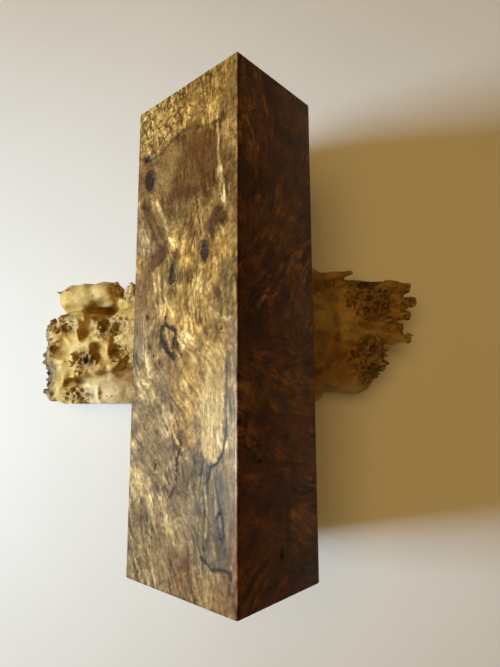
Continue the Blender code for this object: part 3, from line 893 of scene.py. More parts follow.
@dataclass(frozen=True)
class WoodGroups:
    """The node groups that the finishes share."""

    fibres: Tree
    grain: Tree
    eyes: Tree
    crackle: Tree

    @staticmethod
    def build() -> "WoodGroups":
        """Return the groups, each built once."""
        return WoodGroups(fibre_group(), grain_group(), eyes_group(), crackle_group())


def new_material(name: str) -> tuple[Material, Shade, Node]:
    """Start a node material.

    Args:
        name: The material's name.

    Returns:
        The material, its tree's short hand and its shader.
    """
    material = bpy.data.materials.new(name)
    material.use_nodes = True
    return material, Shade(material.node_tree), material.node_tree.nodes["Principled BSDF"]


@dataclass(frozen=True)
class PolishedFinish:
    """Sanded and buffed burl with a satin gloss."""

    roughness: float = 0.27
    pore_depth: float = 0.00005

    def build(self, groups: WoodGroups) -> Material:
        """Build the material.

        Args:
            groups: The shared node groups.

        Returns:
            The material.
        """
        material, shade, shader = new_material("polished_burl")
        place = shade.node("ShaderNodeTexCoord").outputs["Object"]
        colour = shade.attribute("tone").outputs["Color"]
        run = {"Place": shade.attribute("place").outputs["Vector"], "Run": shade.attribute("run").outputs["Vector"]}
        fibres = shade.group(groups.fibres, {**run, "Width": 0.27, "Length": 1.3}).outputs["Value"]
        pores = shade.group(groups.fibres, {**run, "Width": 0.42, "Length": 2.4}).outputs["Value"]
        flecks = shade.noise(place, 1700.0, 3.0, 0.6)
        dark = shade.mix(1.0, colour, (0.34, 0.24, 0.15), "MULTIPLY")
        light = shade.mix(1.0, colour, (1.75, 1.68, 1.45), "MULTIPLY")
        colour = shade.mix(shade.ramp(fibres, 0.54, 0.63, 0.0, 0.66), colour, dark)
        colour = shade.mix(shade.ramp(fibres, 0.45, 0.36, 0.0, 0.52), colour, light)
        colour = shade.mix(shade.ramp(pores, 0.59, 0.65, 0.0, 0.72), colour, dark)
        colour = shade.mix(shade.ramp(flecks, 0.56, 0.74, 0.0, 0.35), colour, light)

        lines = shade.group(groups.crackle, {"Vector": place, "Cell": 0.0025, "Line": 0.10}).outputs["Line"]
        gaps = shade.ramp(shade.noise(place, 520.0, 2.0), 0.36, 0.50)
        lines = shade.product(lines, gaps, shade.attribute("crackle").outputs["Fac"])
        colour = shade.mix(shade.math("MULTIPLY", lines, 0.95), colour, (0.050, 0.021, 0.007))

        eyes = shade.group(groups.eyes, {"Vector": place, "Spacing": 0.0021, "Size": 0.15, "Share": 0.62})
        weight = shade.attribute("eyes").outputs["Fac"]
        ring = shade.product(eyes.outputs["Ring"], weight, 0.15)
        core = shade.product(eyes.outputs["Core"], weight, 0.85)
        colour = shade.mix(ring, colour, (0.34, 0.25, 0.12))
        colour = shade.mix(core, colour, (0.05, 0.026, 0.012))

        ragged = shade.math("MULTIPLY_ADD", shade.noise(place, 1700.0, 3.0, 0.65), 2.0, -0.95)
        edge = shade.math("ADD", shade.attribute("ink").outputs["Fac"], ragged)
        halo = shade.ramp(edge, 0.0, 1.1, 0.45, 0.0)
        colour = shade.tinted(halo, colour, (0.45, 0.33, 0.24))
        ink = shade.ramp(edge, -0.10, 0.12, 0.94, 0.0)
        bark = shade.mix(shade.ramp(fibres, 0.48, 0.64), Tone.INK.value, (0.085, 0.050, 0.026))
        colour = shade.mix(ink, colour, bark)

        shade.feed(shader.inputs["Base Color"], colour)
        gloss = shade.math("MULTIPLY_ADD", fibres, 0.14, self.roughness - 0.07)
        gloss = shade.math("ADD", gloss, shade.math("MULTIPLY", ink, 0.25))
        shade.feed(shader.inputs["Roughness"], gloss)
        dull = shade.math("MAXIMUM", ink, shade.attribute("arris").outputs["Fac"])
        shade.feed(shader.inputs["Specular IOR Level"], shade.math("MULTIPLY_ADD", dull, -0.24, 0.25))
        depth = shade.math("ADD", shade.math("MULTIPLY", fibres, 0.35), shade.math("MULTIPLY", lines, -0.5))
        bump = shade.node("ShaderNodeBump", {"Height": depth, "Strength": 0.35, "Distance": self.pore_depth})
        shade.feed(shader.inputs["Normal"], bump.outputs[0])
        return material


@dataclass(frozen=True)
class RawFinish:
    """Growth surface under the bark: crests lightened as a painted highlight, hollows darkened towards amber as painted
    shade, partly the wood's own tone there, and dark flakes.
    """

    roughness: float = 0.62
    grain_depth: float = 0.0003

    def build(self, groups: WoodGroups) -> Material:
        """Build the material.

        Args:
            groups: The shared node groups.

        Returns:
            The material.
        """
        material, shade, shader = new_material("raw_burl")
        place = shade.node("ShaderNodeTexCoord").outputs["Object"]
        colour = shade.attribute("tone").outputs["Color"]
        hollow = shade.attribute("hollow").outputs["Fac"]
        rough = shade.attribute("rough").outputs["Fac"]
        flecks = shade.noise(place, 2200.0, 3.0, 0.65)
        fibres = shade.group(groups.grain, {"Vector": place, "Width": 0.0003, "Length": 0.0014}).outputs["Value"]
        colour = shade.tinted(shade.ramp(flecks, 0.45, 0.72, 0.0, 0.45), colour, (0.62, 0.50, 0.34))
        colour = shade.tinted(shade.ramp(fibres, 0.5, 0.72, 0.0, 0.5), colour, (1.4, 1.45, 1.5))
        # painted shade: darker and more amber the deeper a place lies below its surroundings, partly the wood's own
        # tone in the hollows
        hollow_shade = shade.ramp(shade.math("ADD", hollow, shade.math("MULTIPLY_ADD", flecks, 0.3, -0.15)), 0.1, 1.2, 0.0, 0.8)
        colour = shade.tinted(hollow_shade, colour, (0.68, 0.55, 0.28))
        # painted highlight: lighter on the crests
        crest_highlight = shade.ramp(hollow, -0.35, -1.1, 0.0, 0.5)
        colour = shade.tinted(crest_highlight, colour, (1.45, 1.42, 1.40))

        lines = shade.group(groups.crackle, {"Vector": place, "Cell": 0.0012, "Line": 0.2}).outputs["Line"]
        flakes = shade.math("MULTIPLY", lines, shade.math("MULTIPLY", rough, 0.5))
        colour = shade.mix(flakes, colour, (0.10, 0.058, 0.026))
        eyes = shade.group(groups.eyes, {"Vector": place, "Spacing": 0.0019, "Size": 0.13, "Share": 0.42})
        calm = shade.math("SUBTRACT", 1.0, rough)
        core = shade.product(eyes.outputs["Core"], calm, 0.7)
        ring = shade.product(eyes.outputs["Ring"], calm, 0.25)
        colour = shade.tinted(ring, colour, (1.3, 1.4, 1.6))
        colour = shade.mix(core, colour, (0.16, 0.075, 0.022))
        shade.feed(shader.inputs["Base Color"], colour)
        gloss = shade.math("MULTIPLY_ADD", flecks, 0.2, self.roughness - 0.1)
        shade.feed(shader.inputs["Roughness"], gloss)
        depth = shade.math("ADD", flecks, shade.math("MULTIPLY", flakes, -1.2))
        depth = shade.math("SUBTRACT", depth, shade.math("MULTIPLY", core, 0.8))
        bump = shade.node("ShaderNodeBump", {"Height": depth, "Strength": 0.6, "Distance": self.grain_depth})
        shade.feed(shader.inputs["Normal"], bump.outputs[0])
        return material


@dataclass(frozen=True)
class SawnFinish:
    """Sawn face of the raw piece, paler, with the marks of the blade."""

    roughness: float = 0.55

    def build(self, groups: WoodGroups) -> Material:
        """Build the material.

        Args:
            groups: The shared node groups.

        Returns:
            The material.
        """
        material, shade, shader = new_material("sawn_burl")
        place = shade.node("ShaderNodeTexCoord").outputs["Object"]
        swirl = shade.noise(place, 160.0, 5.0, 0.6)
        colour = shade.mix(shade.ramp(swirl, 0.35, 0.66), (0.30, 0.165, 0.045), (0.50, 0.335, 0.115))
        fibres = shade.group(groups.grain, {"Vector": place, "Width": 0.00025, "Length": 0.0016}).outputs["Value"]
        colour = shade.tinted(shade.ramp(fibres, 0.45, 0.7, 0.0, 0.5), colour, (0.5, 0.4, 0.28))
        eyes = shade.group(groups.eyes, {"Vector": place, "Spacing": 0.0026, "Size": 0.15, "Share": 0.5})
        colour = shade.mix(shade.math("MULTIPLY", eyes.outputs["Ring"], 0.3), colour, (0.60, 0.44, 0.2))
        colour = shade.mix(shade.math("MULTIPLY", eyes.outputs["Core"], 0.8), colour, (0.09, 0.04, 0.014))
        shade.feed(shader.inputs["Base Color"], colour)
        shader.inputs["Roughness"].default_value = self.roughness
        wave = {"Vector": place, "Scale": 260.0, "Distortion": 1.5, "Detail": 1.0}
        marks = shade.node("ShaderNodeTexWave", wave, bands_direction="DIAGONAL")
        depth = shade.math("ADD", marks.outputs["Fac"], fibres)
        bump = shade.node("ShaderNodeBump", {"Height": depth, "Strength": 0.4, "Distance": 0.00006})
        shade.feed(shader.inputs["Normal"], bump.outputs[0])
        return material


@dataclass
class Blank:
    """The squared, polished blank that lies on edge."""

    length: float = 0.130
    wide: float = 0.040
    narrow: float = 0.030
    tilt: float = math.radians(45.0)
    arris: float = 0.0004
    arris_segments: int = 3
    wide_cuts: tuple[int, ...] = (15, 7)
    narrow_cuts: tuple[int, ...] = (14, 4)
    length_cuts: tuple[int, ...] = (19, 18)
    hidden_share: float = 0.06
    end_share: float = 0.30
    hidden_margin: float = 0.0006
    recess: float = 0.00008
    recess_edge: Point2 = (-0.9, 0.1)
    dull_edge: Point2 = (0.25, 0.5)
    smooth_angle: float = math.radians(35.0)
    centre: Vector = field(init=False)

    def __post_init__(self) -> None:
        """Take the blank's centre from its CAD node."""
        low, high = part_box("burl_block")
        self.centre = (low + high) / 2.0

    def turn(self) -> Matrix:
        """Return the blank's turn about its length."""
        return Matrix.Rotation(self.tilt, 3, "Y")

    def local_places(self, thing: Piece) -> Array:
        """Return the vertices in the blank's own axes, in millimetres."""
        turn = np.array(self.turn())
        return (vertex_places(thing) - np.array(self.centre)) @ turn / MM

    def build(self, finish: Material) -> Piece:
        """Build the blank.

        Args:
            finish: Its material.

        Returns:
            The blank, in place.
        """
        thing = self.squared_box()
        self.split_faces(thing)
        self.thin_hidden_faces(thing)
        figure = self.paint(thing)
        self.sink_inclusions(thing, figure["ink"])
        make_active(thing)
        bpy.ops.object.shade_smooth_by_angle(angle=self.smooth_angle)
        thing.data.materials.clear()
        thing.data.materials.append(finish)
        return thing

    def squared_box(self) -> Piece:
        """Return a box of the blank's size with rounded arrises, still square to the axes."""
        deselect_all()
        bpy.ops.mesh.primitive_cube_add(size=1.0)
        thing = bpy.context.object
        thing.name = "polished_blank"
        thing.data.name = "polished_blank"
        bpy.ops.object.mode_set(mode="EDIT")
        bpy.ops.mesh.select_all(action="SELECT")
        bpy.ops.transform.resize(value=(self.narrow, self.length, self.wide))
        bpy.ops.mesh.bevel(offset=self.arris, segments=self.arris_segments, affect="EDGES")
        bpy.ops.object.mode_set(mode="OBJECT")
        return thing

    def split_faces(self, thing: Piece) -> None:
        """Split the faces into a fine grid and turn the blank on edge, at its place.

        Args:
            thing: The rounded box.
        """
        sides = ((2, self.wide, self.wide_cuts), (0, self.narrow, self.narrow_cuts), (1, self.length, self.length_cuts))
        make_active(thing)
        bpy.ops.object.mode_set(mode="EDIT")
        bpy.ops.mesh.select_mode(type="EDGE")
        for axis, size, cuts in sides:
            step = size
            for count in cuts:
                bpy.ops.mesh.select_all(action="DESELECT")
                shape = bmesh.from_edit_mesh(thing.data)
                for edge in shape.edges:
                    run = edge.verts[1].co - edge.verts[0].co
                    if abs(run[axis]) > 0.8 * step and abs(run[axis]) > 0.999 * run.length:
                        edge.select_set(True)
                bmesh.update_edit_mesh(thing.data)
                bpy.ops.mesh.subdivide(number_cuts=count)
                step = step / (count + 1)
        bpy.ops.mesh.select_all(action="SELECT")
        bpy.ops.object.mode_set(mode="OBJECT")
        thing.data.transform(Matrix.Translation(self.centre) @ self.turn().to_4x4())

    def thin_hidden_faces(self, thing: Piece) -> None:
        """Use fewer triangles on the two faces underneath and on the ends.

        Args:
            thing: The blank.
        """
        half = np.array((self.narrow, self.length, self.wide)) / 2.0 / MM
        margin = self.hidden_margin / MM
        hidden = ((Face.WIDE_UNDER, Face.NARROW_UNDER), self.hidden_share)
        ends = ((Face.FAR_END, Face.NEAR_END), self.end_share)
        for faces, share in (hidden, ends):
            places = self.local_places(thing)
            chosen = np.zeros(len(places), dtype=bool)
            for face in faces:
                axis, sign = face.value[:2]
                others = [other for other in range(3) if other != axis]
                flat = np.abs(sign * places[:, axis] - half[axis]) < 0.001
                for other in others:
                    flat &= np.abs(places[:, other]) < half[other] - margin
                chosen |= flat
            make_active(thing)
            bpy.ops.object.mode_set(mode="EDIT")
            bpy.ops.mesh.select_mode(type="VERT")
            bpy.ops.mesh.select_all(action="DESELECT")
            bpy.ops.object.mode_set(mode="OBJECT")
            thing.data.vertices.foreach_set("select", chosen)
            bpy.ops.object.mode_set(mode="EDIT")
            bpy.ops.mesh.select_mode(type="VERT")
            bpy.ops.mesh.decimate(ratio=share)
            bpy.ops.object.mode_set(mode="OBJECT")

    def paint(self, thing: Piece) -> dict[str, Array]:
        """Give each vertex its colour and marks.

        Args:
            thing: The blank.

        Returns:
            What was stored, by name.
        """
        places = self.local_places(thing)
        half = np.array((self.narrow, self.length, self.wide)) / 2.0 / MM
        nearness = np.stack([sign * places[:, axis] - half[axis] for axis, sign, *_ in (face.value for face in Face)])
        nearest = np.argmax(nearness, axis=0)
        figure = {name: np.zeros(len(places)) for name in ("ink", "crackle", "eyes")}
        figure.update({name: np.zeros((len(places), 3)) for name in ("tone", "place", "run")})
        for number, face in enumerate(Face):
            here = nearest == number
            _, _, across, across_sign, down, down_sign = face.value
            x = half[across] + across_sign * places[here, across]
            y = half[down] + down_sign * places[here, down]
            part = FIGURES[face].paint(np.column_stack((x, y)), places[here])
            for name, values in part.items():
                figure[name][here] = values
        near = np.sort(half - np.abs(places), axis=1)[:, 1]
        figure["arris"] = 1.0 - ease_between(*self.dull_edge, near)
        for name, values in figure.items():
            store_values(thing, name, values)
        return figure

    def sink_inclusions(self, thing: Piece, ink: Array) -> None:
        """Let the dark inclusions lie a little below the polished face.

        Args:
            thing: The blank.
            ink: Distance from the inclusions for each vertex, in millimetres.
        """
        places = vertex_places(thing)
        depth = self.recess * (1.0 - ease_between(*self.recess_edge, ink))
        move_vertices(thing, places - vertex_normals(thing) * depth[:, None])


@dataclass
class RawStand:
    """The raw piece of burl, sawn flat underneath, at one side and in its groove."""

    voxel: float = 0.00046
    swell: float = 0.0011
    swell_size: float = 0.0075
    half_length: float = 0.060
    sawn_side: float = -0.0201
    seat_gap: float = 0.0003
    saw_span: float = 0.3
    most_triangles: int = 185000
    finger_tip_share: float = 0.55
    relief_sway: float = 0.0006
    relief_sway_size: float = 0.0032
    rim_place: float = 1.14
    rim_spread: float = 0.12
    cup_depth_share: float = 0.52
    valley_share: float = 0.6
    knob_count: int = 150
    knob_radius: Point2 = (0.0014, 0.0030)
    knob_sink: float = 0.25
    ray_start: float = 0.05
    pits: Table = ((0.0021, 0.0012), (0.0011, 0.0006))
    surroundings: Table = ((12, 0.00012, 0.5), (90, 0.0006, 0.6))
    deepest: float = 1.5
    fine_sway_size: float = 0.0013
    rim_wear: float = 0.8
    rim_wear_size: float = 0.0017
    cup_edge: Point2 = (0.1, 1.06)
    upward: Point2 = (0.0, 0.5)
    rough_sway: float = 0.0012
    rough_sway_size: float = 0.004
    rough_edge: Point2 = (0.6, 1.25)
    crinkles: Table = ((0.00007, 0.0009, 83), (0.00012, 0.0024, 84))
    pit_bend: float = 0.35
    pit_edge: Point2 = (0.08, 0.75)
    thorn_size: Point2 = (0.6, 1.3)
    thorn_tip: float = 0.75
    thorn_root: float = 0.55
    thorn_width: float = 1.25
    thorn_voxel: float = 0.6
    smooth_angle: float = math.radians(50.0)
    flat_cosine: float = 0.999
    flat_reach: float = 0.00002
    seed: int = 2217

    # Ovals of the growth: centre, radii and turn
    lobes: Table = read_table("""
        -12 -3 8 21 16.5 19 0; 10 0 9 20 17 21 12; 0 9.5 6 26 8 15 6; 3 -13.5 7 30 8.5 17 0; -26 1 10 13 14 13.5 0;
        -38 -4 8 18 13 12 0; -50 -5 8 9.2 9.5 8.5 8; -50 -14.8 7 8.2 6 8 -10; -34 -16 8 15 7 10.5 0;
        -17 -15 6 15 8.5 12.5 0; -54.5 1.5 8 4.8 4.8 8 0; -47 4.5 9 8 6 9.5 20; 24 3 9 15 16 14 0;
        34 5 8 17 14.5 12 0; 45 7 9 10 10.5 8.5 0; 33 -9 7 10 7.5 10 0; 40 -8.5 8 8.5 9 9 -8; 45 -5 9 5.8 6.5 7 0;
        26 -13 6 4.8 7.2 10 20; 27.5 17.5 11 4 5.2 6 0; 42 15.5 10 10.5 3.8 6 -3; 53 16.4 13 6.6 3.2 4.2 -8;
        -33 10.5 6 7 6 8.5 0; 49 12.5 8.5 8.5 5.8 6.8 0; 46 4.5 8.5 7.8 6.4 7 0; 52 10.5 12.5 6.2 6.6 3.6 0;
        50 2.4 12 5.5 3.8 3.4 0; -40 -1 8 14 9.5 13 0
    """, 3, 3, 0)
    # Ovals of the round log at the far left, like the lobes
    far_log: Table = read_table("""
        -49.5 12.7 12 5 4.5 5.2 0; -45 13.3 12.8 9 4.2 5 4; -39.5 14.2 13.8 6 4 5 6; -45 9 8 6 5.5 7 0
    """, 3, 3, 0)
    # Cones: root, tip and radius
    fingers: Table = read_table("""
        54 17.6 13 59.6 17.8 14 1.7; 54 16 12.5 59.8 15.8 13.5 1.5; 52 12.2 12 61 12.4 13.5 3.1;
        49 8 13 59.2 8 13.5 2.9; 45 4.4 13 56.6 4.2 14 2.4; 44 1 12 59.4 .4 13 3.2; 44 -7.2 11 50.8 -7.8 13 1.4;
        42 -2.6 11 50.4 -3.8 12.5 3; 27 20 12 35 21.2 13.5 2.4; 32.5 20.7 12.8 40.2 22 14.8 1.5;
        36 18.5 12 49 18.4 13 1.7; -52 13.6 14 -55 14.7 15 .8; -37 16.5 15 -35 18 16.5 1.2;
        -32.5 10.5 15 -30 16 20 2.7
    """, 3, 3, 1)
    # Hollows seen from above: centre, radii, turn, depth and height of the rim
    cups: Table = read_table("""
        -43.4 1.3 3 3.8 -10 4.2 1; -49.6 3.2 2 2.6 20 2.6 .5; -52.3 -4.2 4.2 2.8 12 3.4 .9;
        -39.8 -4.8 2.3 3.6 -8 4.2 1; -38.4 3.7 2.2 2.5 20 3.2 .7; -33.6 3.2 2.3 2.8 0 3.4 .6;
        -34.4 -4.7 2.5 1.8 0 2.6 .6; -44.7 -6.4 2.1 2.3 0 2 .4; -46 5.6 2.2 .9 70 2 .4; -47.1 -13 .8 2.3 80 2 .5;
        -47.7 -15.6 .8 2.2 75 1.8 .5; -44.9 -15.2 .8 1.3 80 1.6 .5; -45.5 -17.7 .8 2.2 80 1.8 .5;
        42.8 15.2 3.2 1.4 0 3 .5; 45.2 12.4 1.8 1.5 0 2.4 .6; 51.7 9.8 1.6 1.1 0 2 .5; 48.2 7.4 2 1.1 0 1.8 .5;
        43.6 9.2 1.8 1.4 0 2.2 .5; 40.4 12.4 1.4 1.2 0 1.8 .4; 45.6 -3.2 1.6 1.4 0 2.2 .6;
        46.4 -6.4 1.2 1.3 0 1.8 .5; 44.8 -10 1.5 1.7 0 2 .5; 42.5 -11 1.1 1.1 0 1.6 .4; 31.2 -9.8 1.2 1.2 0 .9 .4;
        30 -13 .8 .8 0 .8 .3
    """, 2, 2, 0, 1, 1)
    # Folds and valleys: width, height and the points of the path
    folds: Table = read_table("""
        1.1 1.7 -51 -12.6 -46 -11.4 -40.8 -10.1 -35.7 -8.6 -31 -7.5; .6 1.1 -53.8 4.8 -51.5 1 -48.7 -2.7;
        .7 1.2 -50 5.2 -46.8 4 -44.7 6.7 -40 7.6 -36 6.2; .5 .8 -40.1 -15 -40.1 -20;
        .7 .8 -47.5 -3 -43.5 -2.6 -38.5 -.6 -33 -1 -30.5 1; .6 .8 -36.8 -.5 -36.9 -7;
        .9 1.2 -56 -1 -57.2 -4 -56 -7.5; .9 1.2 34 12 38 10.5 42 11.2 47 10.8; 1.2 1 36 3 42 2 48 1.2 54 .8;
        .4 .5 26.4 -9.3 30 -8.2 32.6 -8.7 34.2 -5.8 37.5 -8.4; .7 1 37 19 43 19.2 49 18.8;
        .8 -2.6 -50.5 -13.9 -45 -12.8 -40.7 -11.7 -33.4 -10.8 -29 -10.2; 1.3 -5 -44 8.4 -40 9.6 -36.3 9.2 -30 10.4;
        .8 -3 -53.5 9.4 -47.4 8.6 -43 8.8; .7 -1.6 -56.5 -9.2 -53 -8.8; .7 -2 40.6 4.4 46 3.6 52 2.7;
        .6 -1.8 44 6.2 50 6.4 54 5.9; .6 -1.8 47 10.8 53 10.1 58 10.3; .7 -2.4 47 15.4 52 14.6 57.5 14.8;
        .9 -3 37.5 17 44 17.4 49 16.8; .8 -1.4 33.5 -1 39 -2.4 43 -2
    """, 1, 1, 2, 2, 2, 2, 2)
    # Ovals that are cut away: centre, radii and turn
    clefts: Table = read_table("""
        -34.5 9.2 22 10.5 1.3 7 8; 34.5 -22.5 10 6 6.2 20 0; 57.5 -1.6 8 4 .7 14 -6; 60.5 16.8 14 2.6 .4 6 0;
        59 14.8 14 2.6 .7 12 4; 59.8 10.2 15 2.4 .6 12 4; 57.5 6 15 4 .6 12 2; 56.5 2.6 15 4.6 .5 12 -2;
        50 19.2 16 1 1.4 6 -20
    """, 3, 3, 0)
    # Ovals without knobs, seen from above: centre and radii
    smooth_growth: Table = read_table("""
        29 7 9 12.5; -25 -15.5 10 6; -44 13.5 13 5; -50 -12 5 6; 56 8 7 12; 30 -15 7 6; 29 -8 9 8.5
    """, 2, 2)
    # Patches of thorns: centre, half sizes, count, direction, length and radius
    spike_patches: Table = read_table("""
        -43.7 -7.2 10 4 3.2 14 -.3 -.1 1 2 .7; -56 2.4 8 3.2 3.6 10 -.6 .3 1 1.2 1;
        -56 -6 10 2 4 9 -1 .1 .5 1.4 1.2; -56 -13.5 8 2 4 12 -1 -.2 .4 1.8 1.1; 44 10 10 5.5 6.5 26 .6 .2 1 2.6 .8;
        44 -7 8 4.5 6 22 .9 -.1 1 2.6 .8; 58.5 11.5 14 2 2 5 1 .1 .3 1.8 .6; 58 1 13.5 2 1.8 5 1 -.1 .3 1.8 .6
    """, 3, 2, 0, -3, 1, 1)
    # Dark flecks of bark, seen from above: centre and radii
    bark_flecks: Table = read_table("""
        -55.2 14.6 2.2 1.2; -51.8 15 1.1 .7; -34.7 18.4 2.2 1.4; 43 19.2 7 1.4; 60.5 .4 1.4 2; 50.6 -7.8 2 .8;
        45 -10.4 2.2 1.8; -43.7 -7.2 2.2 1.4; -47 -13.3 2.2 .7
    """, 2, 2)
    # Flaky, thorny ovals, seen from above: centre and radii
    rough_growth: Table = read_table("""
        -36.5 3 6 5; -33 -6 4 3.5; -43.7 -7.2 4.2 3.4; -52 4 4.5 4; -57 -8 3 11; -47 -17.5 5 3; 43 12 8 7;
        44 -7 7 8; 58 8 4 11; -33 15 5 4
    """, 2, 2)

    def build(self, raw: Material, sawn: Material) -> Piece:
        """Build the stand.

        Args:
            raw: Material of the growth.
            sawn: Material of the sawn faces.

        Returns:
            The stand, in place.
        """
        noise.seed_set(self.seed)
        thing = self.grow()
        self.carve_relief(thing)
        self.hollow_out(thing)
        self.swell_surface(thing)
        self.crinkle(thing)
        self.add_spikes(thing)
        self.fit_length(thing)
        self.saw(thing)
        self.thin(thing)
        self.paint(thing)
        self.dress(thing, raw, sawn)
        return thing

    def add_ellipsoid(self, centre: Point3, radii: Point3, turn: float = 0.0, subdivisions: int = 4) -> None:
        """Add a closed ellipsoid to the mesh in edit mode."""
        bpy.ops.mesh.primitive_ico_sphere_add(
            subdivisions=subdivisions, radius=1.0, location=centre, rotation=(0.0, 0.0, math.radians(turn)), scale=radii
        )

    def add_horn(self, root: Point3, tip: Point3, radius: float, sides: int = 16, tip_share: float = 0.22) -> None:
        """Add a closed cone from a round root to a blunt tip to the mesh in edit mode."""
        axis = Vector(tip) - Vector(root)
        bpy.ops.mesh.primitive_cone_add(
            vertices=sides,
            radius1=radius,
            radius2=radius * tip_share,
            depth=axis.length,
            location=Vector(root) + axis / 2.0,
            rotation=axis.to_track_quat("Z", "Y").to_euler(),
        )

    def start_piece(self, name: str) -> Piece:
        """Return an empty mesh object, open in edit mode."""
        deselect_all()
        thing = bpy.data.objects.new(name, bpy.data.meshes.new(name))
        bpy.context.scene.collection.objects.link(thing)
        make_active(thing)
        bpy.ops.object.mode_set(mode="EDIT")
        return thing

    def grow(self) -> Piece:
        """Return the lobes, the far log, the fingers and the knobs as one closed skin."""
        thing = self.start_piece("raw_stand")
        for centre, radii, turn in self.lobes + self.far_log:
            self.add_ellipsoid(centre, radii, turn)
        for root, tip, radius in self.fingers:
            self.add_horn(root, tip, radius, tip_share=self.finger_tip_share)
            self.add_ellipsoid(root, (radius, radius, radius))
        self.add_knobs(random.Random(self.seed))
        bpy.ops.object.mode_set(mode="OBJECT")
        apply_modifier(thing, "REMESH", mode="VOXEL", voxel_size=self.voxel)
        return thing

    def relief(self, places: Array) -> Array:
        """Work out how far the skin is raised or sunk by cups, rims, folds and valleys.

        Args:
            places: Places on the skin.

        Returns:
            One height for each place, negative in the hollows.
        """
        sway = np.array([noise.noise_vector(Vector(place) / self.relief_sway_size)[:2] for place in places])
        fine = noise_pair(places, self.fine_sway_size, 2, 72)
        spots = places[:, :2] + self.relief_sway * (sway + 0.5 * fine)
        ragged = 1.0 + self.rim_wear * fractal_noise(places, self.rim_wear_size, 2, 71)
        sunk = np.zeros(len(places))
        raised = np.zeros(len(places))
        for (x, y), (radius_x, radius_y), turn, depth, rim in self.cups:
            reach = Spot(x, y, radius_x, radius_y, turn).reach(spots)
            inside = 1.0 - ease_between(*self.cup_edge, reach)
            sunk = np.minimum(sunk, -depth * self.cup_depth_share * inside)
            raised = np.maximum(raised, rim * np.exp(-(((reach - self.rim_place) / self.rim_spread) ** 2)))
        for width, height, *path in self.folds:
            part = height * np.exp(-((Line(tuple(path), width).spread(spots) / width) ** 2))
            sunk = np.minimum(sunk, part * self.valley_share)
            raised = np.maximum(raised, part)
        return sunk + raised * ragged

    def carve_relief(self, thing: Piece) -> None:
        """Raise the folds and rims and sink the cups and valleys on the upper side.

        Args:
            thing: The grown skin.
        """
        places = vertex_places(thing)
        upward = ease_between(*self.upward, vertex_normals(thing)[:, 2])
        places[:, 2] += self.relief(places) * upward
        move_vertices(thing, places)
        apply_modifier(thing, "REMESH", mode="VOXEL", voxel_size=self.voxel)

    def on_smooth_growth(self, place: Vector) -> bool:
        """Tell whether a place lies over growth that has no knobs."""
        for (x, y), (radius_x, radius_y) in self.smooth_growth:
            if ((place.x - x) / radius_x) ** 2 + ((place.y - y) / radius_y) ** 2 < 1.0:
                return True
        return False

    def add_knobs(self, draw: random.Random) -> None:
        """Scatter knobs over the upper side of the lobes, with their roots sunk in.

        Args:
            draw: The source of random numbers.
        """
        for _ in range(self.knob_count):
            centre, radii, turn = draw.choice(self.lobes)
            height = draw.uniform(-0.1, 0.95)
            angle = draw.uniform(0.0, math.tau)
            reach = math.sqrt(1.0 - height * height)
            direction = Vector((reach * math.cos(angle), reach * math.sin(angle), height))
            offset = Vector(radius * share for radius, share in zip(radii, direction))
            place = Vector(centre) + Matrix.Rotation(math.radians(turn), 3, "Z") @ offset
            size = draw.uniform(*self.knob_radius)
            knob = [size * draw.uniform(0.8, 1.3) for _ in range(3)]
            knob_turn = draw.uniform(0.0, 180.0)
            if not self.on_smooth_growth(place):
                self.add_ellipsoid(place - direction * size * self.knob_sink, knob, knob_turn, subdivisions=3)

    def hollow_out(self, thing: Piece) -> None:
        """Cut the clefts that go right through between the fingers.

        Args:
            thing: The grown skin.
        """
        cutter = self.start_piece("hollows")
        for centre, radii, turn in self.clefts:
            self.add_ellipsoid(centre, radii, turn)
        bpy.ops.object.mode_set(mode="OBJECT")
        apply_modifier(cutter, "REMESH", mode="VOXEL", voxel_size=self.voxel)
        apply_modifier(thing, "BOOLEAN", operation="DIFFERENCE", object=cutter, solver="MANIFOLD")
        bpy.data.objects.remove(cutter, do_unlink=True)
        apply_modifier(thing, "REMESH", mode="VOXEL", voxel_size=self.voxel)

    def swell_surface(self, thing: Piece) -> None:
        """Give the skin the low swell of the grain that the CAD node has.

        Args:
            thing: The skin.
        """
        swell = bpy.data.textures.new("swell", "CLOUDS")
        swell.noise_scale = self.swell_size
        swell.noise_depth = 2
        apply_modifier(thing, "DISPLACE", texture=swell, strength=self.swell, mid_level=0.5, texture_coords="LOCAL")
        apply_modifier(thing, "SMOOTH", factor=0.5, iterations=1)

    def roughness_of(self, places: Array) -> Array:
        """Return 1 on the flaky, thorny growth and 0 on the smooth growth, for each place."""
        spots = places[:, :2] + self.rough_sway * noise_pair(places, self.rough_sway_size, 2, 61)
        best = np.zeros(len(places))
        for centre, radii in self.rough_growth:
            best = np.maximum(best, 1.0 - ease_between(*self.rough_edge, Spot(*centre, *radii).reach(spots)))
        return best

    def crinkle(self, thing: Piece) -> None:
        """Raise fine folds, flakes and pits on the skin, most where the growth is rough.

        Args:
            thing: The skin.
        """
        places = vertex_places(thing)
        rough = self.roughness_of(places)
        lift = sum(height * fractal_noise(places, size, 2, seed) for height, size, seed in self.crinkles)
        for size, depth in self.pits:
            pits = np.zeros(len(places))
            for number in np.flatnonzero(rough > 0.03):
                place = Vector(places[number])
                bent = place / size + noise.noise_vector(place / size) * self.pit_bend
                near, second = noise.voronoi(bent)[0][:2]
                pits[number] = min(1.0, second - near)
            lift -= depth * rough * ease_between(*self.pit_edge, pits)
        move_vertices(thing, places + vertex_normals(thing) * lift[:, None])

    def surface_point(self, thing: Piece, place: Vector, direction: Vector) -> Vector | None:
        """Return where a ray from outside, along minus the direction, meets the object."""
        hit, point, _, _ = thing.ray_cast(place + direction * self.ray_start, -direction)
        return point if hit else None

